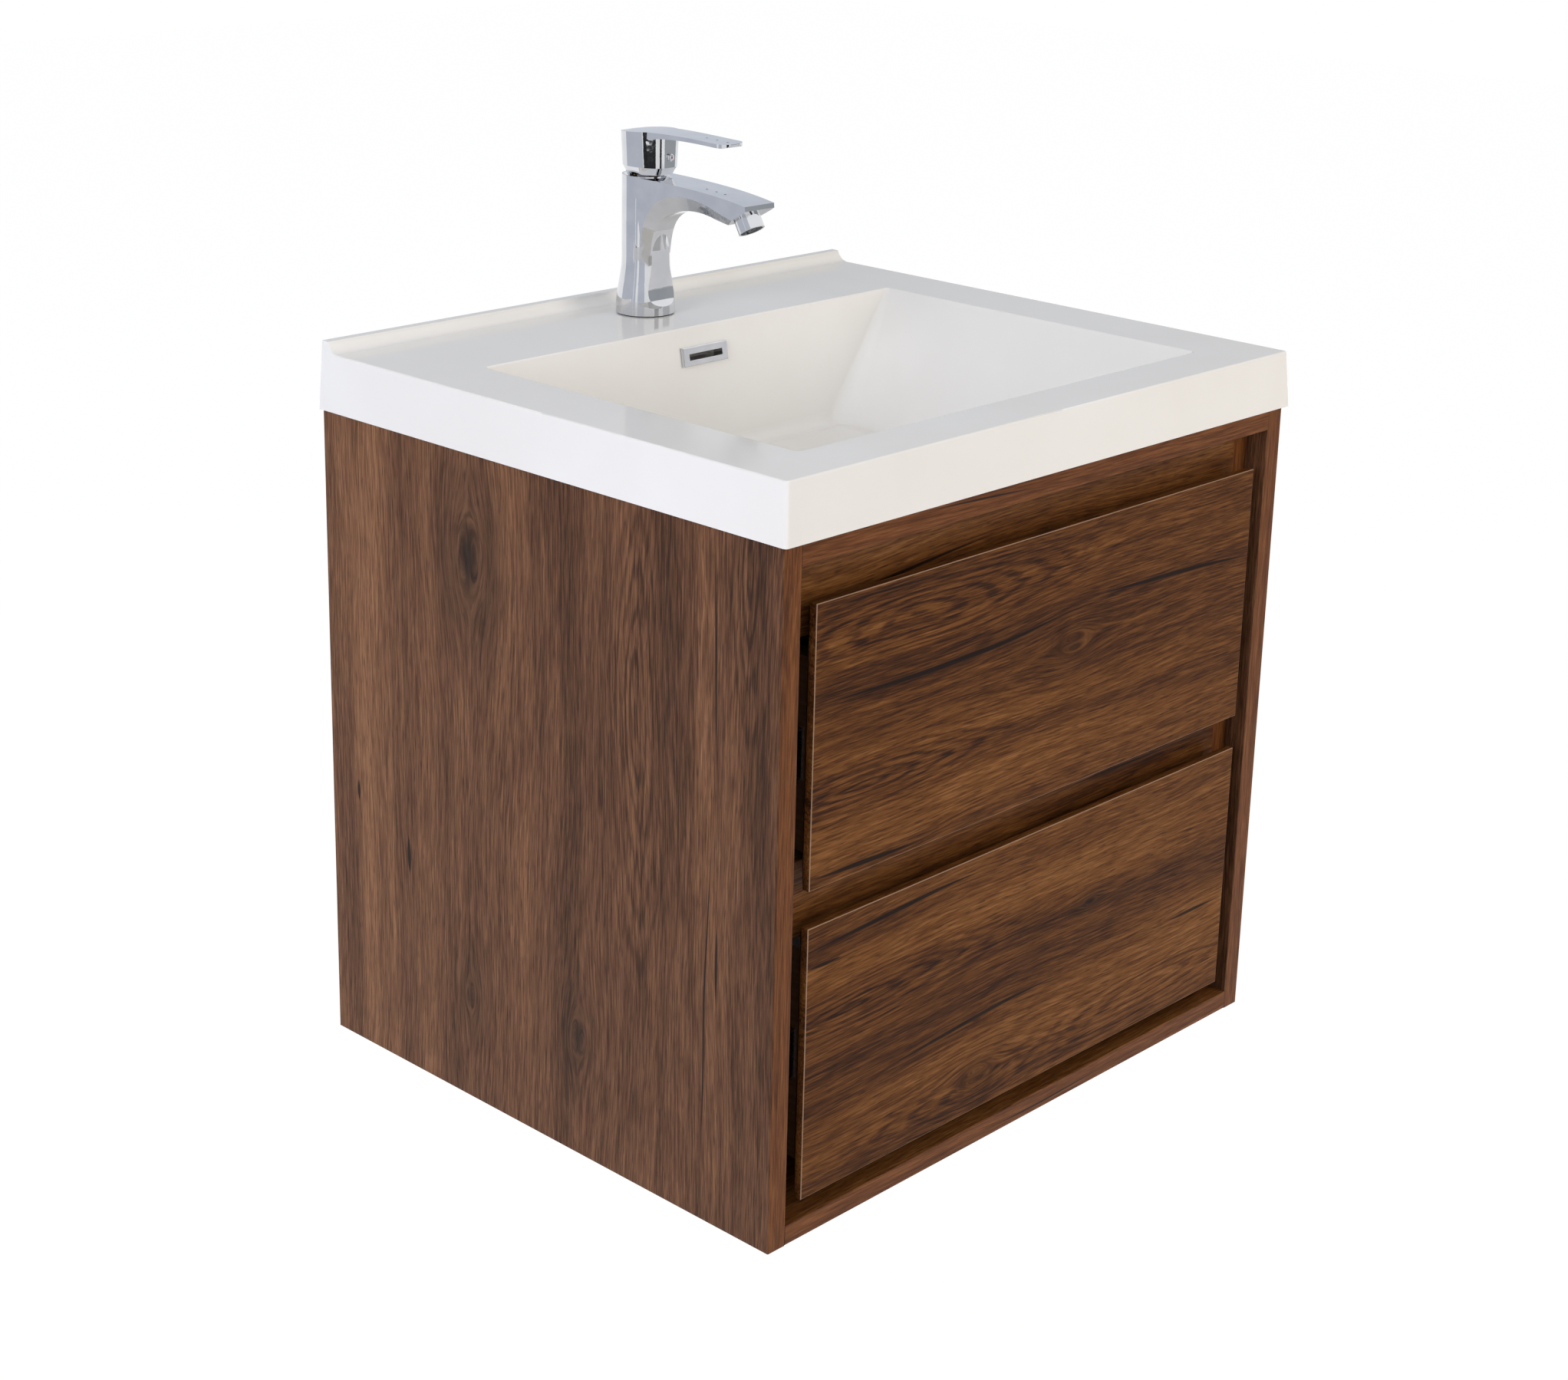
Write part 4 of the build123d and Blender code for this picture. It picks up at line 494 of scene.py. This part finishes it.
# %% [markdown]
# ## Studio
# The cabinet hangs, so the floor lies well below it. A product photographer lights white goods
# with large soft sources and lets the background burn out to white. The background's white belongs
# to the rays that see it, straight or in a mirror, and not to those that carry light to a matt
# surface.
#
# Chrome and gel coat show the room more than themselves. Grey screens stand outside the picture: a
# lavender one at the left, then a pale one over a black one with a narrow bright line before them,
# a bright strip, a dark strip and a grey one at the right, and a blue-grey one behind the cabinet
# for all that faces up. The camera never sees them, so the object can be viewed from any side
# against a clear ground. The lamps are kept out of mirror reflections, since a lamp's own image in
# the gel coat burns the skirt out to white when it is seen square on.

# %% Floor, world, screens and lights
FLOOR_Z = -0.86
FLOOR_SIDE = 18
FLOOR_GLOW_SHARE = 0.93     # of what a ray that sees the floor gets; the rest is its lit surface
FLOOR_GLOW = 1.04           # a little over 1, so that the two together come out white
AIR_LIGHT = 0.42            # the world's light on the object


def grid(name, size, place, turn, material, in_picture=True):
    """A flat staged sheet: size is (width, height), turned about its centre."""
    bm = bmesh.new()
    bmesh.ops.create_grid(bm, x_segments=1, y_segments=1, size=0.5)
    bmesh.ops.scale(bm, verts=bm.verts, vec=(size[0], size[1], 1.0))
    sheet = new_piece(name, bm, material)
    sheet.location = place
    sheet.rotation_euler = turn
    sheet.visible_camera = in_picture


def rays_that_see(tree):
    """One for camera, mirror and glass rays, and nothing for the rays that carry light."""
    path = add(tree, "LightPath")
    seen = add(tree, "Math", {0: path.outputs["Is Camera Ray"], 1: path.outputs["Is Glossy Ray"]},
               operation="MAXIMUM")
    return add(tree, "Math", {0: seen.outputs[0], 1: path.outputs["Is Transmission Ray"]},
               operation="MAXIMUM").outputs[0]


pale, tree, shader = new_material("pale_floor")
shader.inputs["Base Color"].default_value = colour("#F2F2F2")
shader.inputs["Roughness"].default_value = 0.8
share = add(tree, "Math", {0: rays_that_see(tree), 1: FLOOR_GLOW_SHARE}, operation="MULTIPLY")
glow = add(tree, "Emission", {"Color": colour("#FFFFFF"), "Strength": FLOOR_GLOW})
seen = add(tree, "MixShader", {0: share.outputs[0], 1: shader.outputs[0], 2: glow.outputs[0]})
tree.links.new(seen.outputs[0], tree.nodes["Material Output"].inputs["Surface"])
grid("studio_floor", (FLOOR_SIDE, FLOOR_SIDE), (0, -0.25, FLOOR_Z), (0, 0, 0), pale)

world = bpy.data.worlds.new("studio_air")
world.use_nodes = True
bpy.context.scene.world = world
tree = world.node_tree
air = tree.nodes["Background"]
air.inputs["Color"].default_value = colour("#F6F7FA")
air.inputs["Strength"].default_value = AIR_LIGHT
white = add(tree, "Background", {"Color": colour("#FFFFFF"), "Strength": 1.0})
seen = add(tree, "MixShader", {0: rays_that_see(tree), 1: air.outputs[0], 2: white.outputs[0]})
tree.links.new(seen.outputs[0], tree.nodes["World Output"].inputs["Surface"])

# name: bearings of its two edges from the tap in degrees, distance, foot, top, tone
SCREENS = {
    "lavender_screen": ((120, 175), 3.3, -0.85, 2.2, "#C3C7D1"),
    "black_screen": ((177, 222), 3.6, -0.85, -0.64, "#121316"),
    "left_screen": ((177, 222), 3.6, -0.63, 2.2, "#C4C8D1"),
    "bright_line": ((186, 195), 3.4, -0.60, 0.9, "#F6F7F7"),
    "bright_strip": ((224, 258), 3.2, -0.85, 1.6, "#F4F4F2"),
    "dark_strip": ((262, 280), 3.2, -0.85, 1.8, "#232427"),
    "grey_screen": ((299, 336), 3.2, -0.85, 1.6, "#A2A6A9"),
    "blue_screen": ((22, 72), 2.8, 0.25, 2.4, "#CED3DC"),
}
for name, (edges, distance, foot, top, tone) in SCREENS.items():
    cloth, tree, shader = new_material(name)
    shader.inputs["Base Color"].default_value = colour("#101010")
    shader.inputs["Roughness"].default_value = 0.9
    shader.inputs["Emission Color"].default_value = colour(tone)
    shader.inputs["Emission Strength"].default_value = 1.0
    bearing = math.radians(sum(edges) / 2)
    width = 2 * distance * math.tan(math.radians(edges[1] - edges[0]) / 2)
    place = (distance * math.cos(bearing), TAP_Y + distance * math.sin(bearing),
             (foot + top) / 2)
    turn = (math.pi / 2, 0, bearing - math.pi / 2)
    grid(name, (width, top - foot), place, turn, cloth, in_picture=False)

# name: place, side, power in watts, tint
SOFTBOXES = {
    "key_left": ((-2.5, -0.6, 1.0), 1.5, 35, "#F3F3FF"),
    "overhead": ((0.2, -0.5, 2.7), 1.8, 6, "#FFFFFF"),
    "front_right": ((1.0, -2.8, 0.8), 1.5, 35, "#FFF4E8"),
}
AIM = Vector((0, -0.25, -0.1))
for name, (spot, size, watts, tint) in SOFTBOXES.items():
    lamp = bpy.data.lights.new(name, "AREA")
    lamp.shape = "SQUARE"
    lamp.size = size
    lamp.energy = watts
    lamp.color = colour(tint)[:3]
    holder = bpy.data.objects.new(name, lamp)
    holder.location = spot
    holder.visible_glossy = False
    holder.rotation_euler = (AIM - Vector(spot)).to_track_quat("-Z", "Y").to_euler()
    bpy.context.scene.collection.objects.link(holder)
bpy.context.scene.view_settings.view_transform = "Standard"
print(len(SCREENS), "screens,", len(SOFTBOXES), "soft boxes, floor at", FLOOR_Z)

# %% [markdown]
# ## Camera
# The viewer stands at the left front corner and looks down on the top. A longish lens from over
# two metres away keeps the cabinet's upright edges nearly parallel.

# %% Camera
lens = bpy.data.cameras.new("camera")
lens.sensor_width = 36
lens.lens = 62.99
lens.shift_y = -0.0903
lens.clip_end = 50
camera = bpy.data.objects.new("camera", lens)
camera.location = (-1.5786, -1.7128, 0.5746)
camera.rotation_euler = [math.radians(a) for a in (72.939, -1.303, -46.310)]
bpy.context.scene.collection.objects.link(camera)
bpy.context.scene.camera = camera
print("camera", round((camera.location - AIM).length, 2), "m from where the lamps aim")
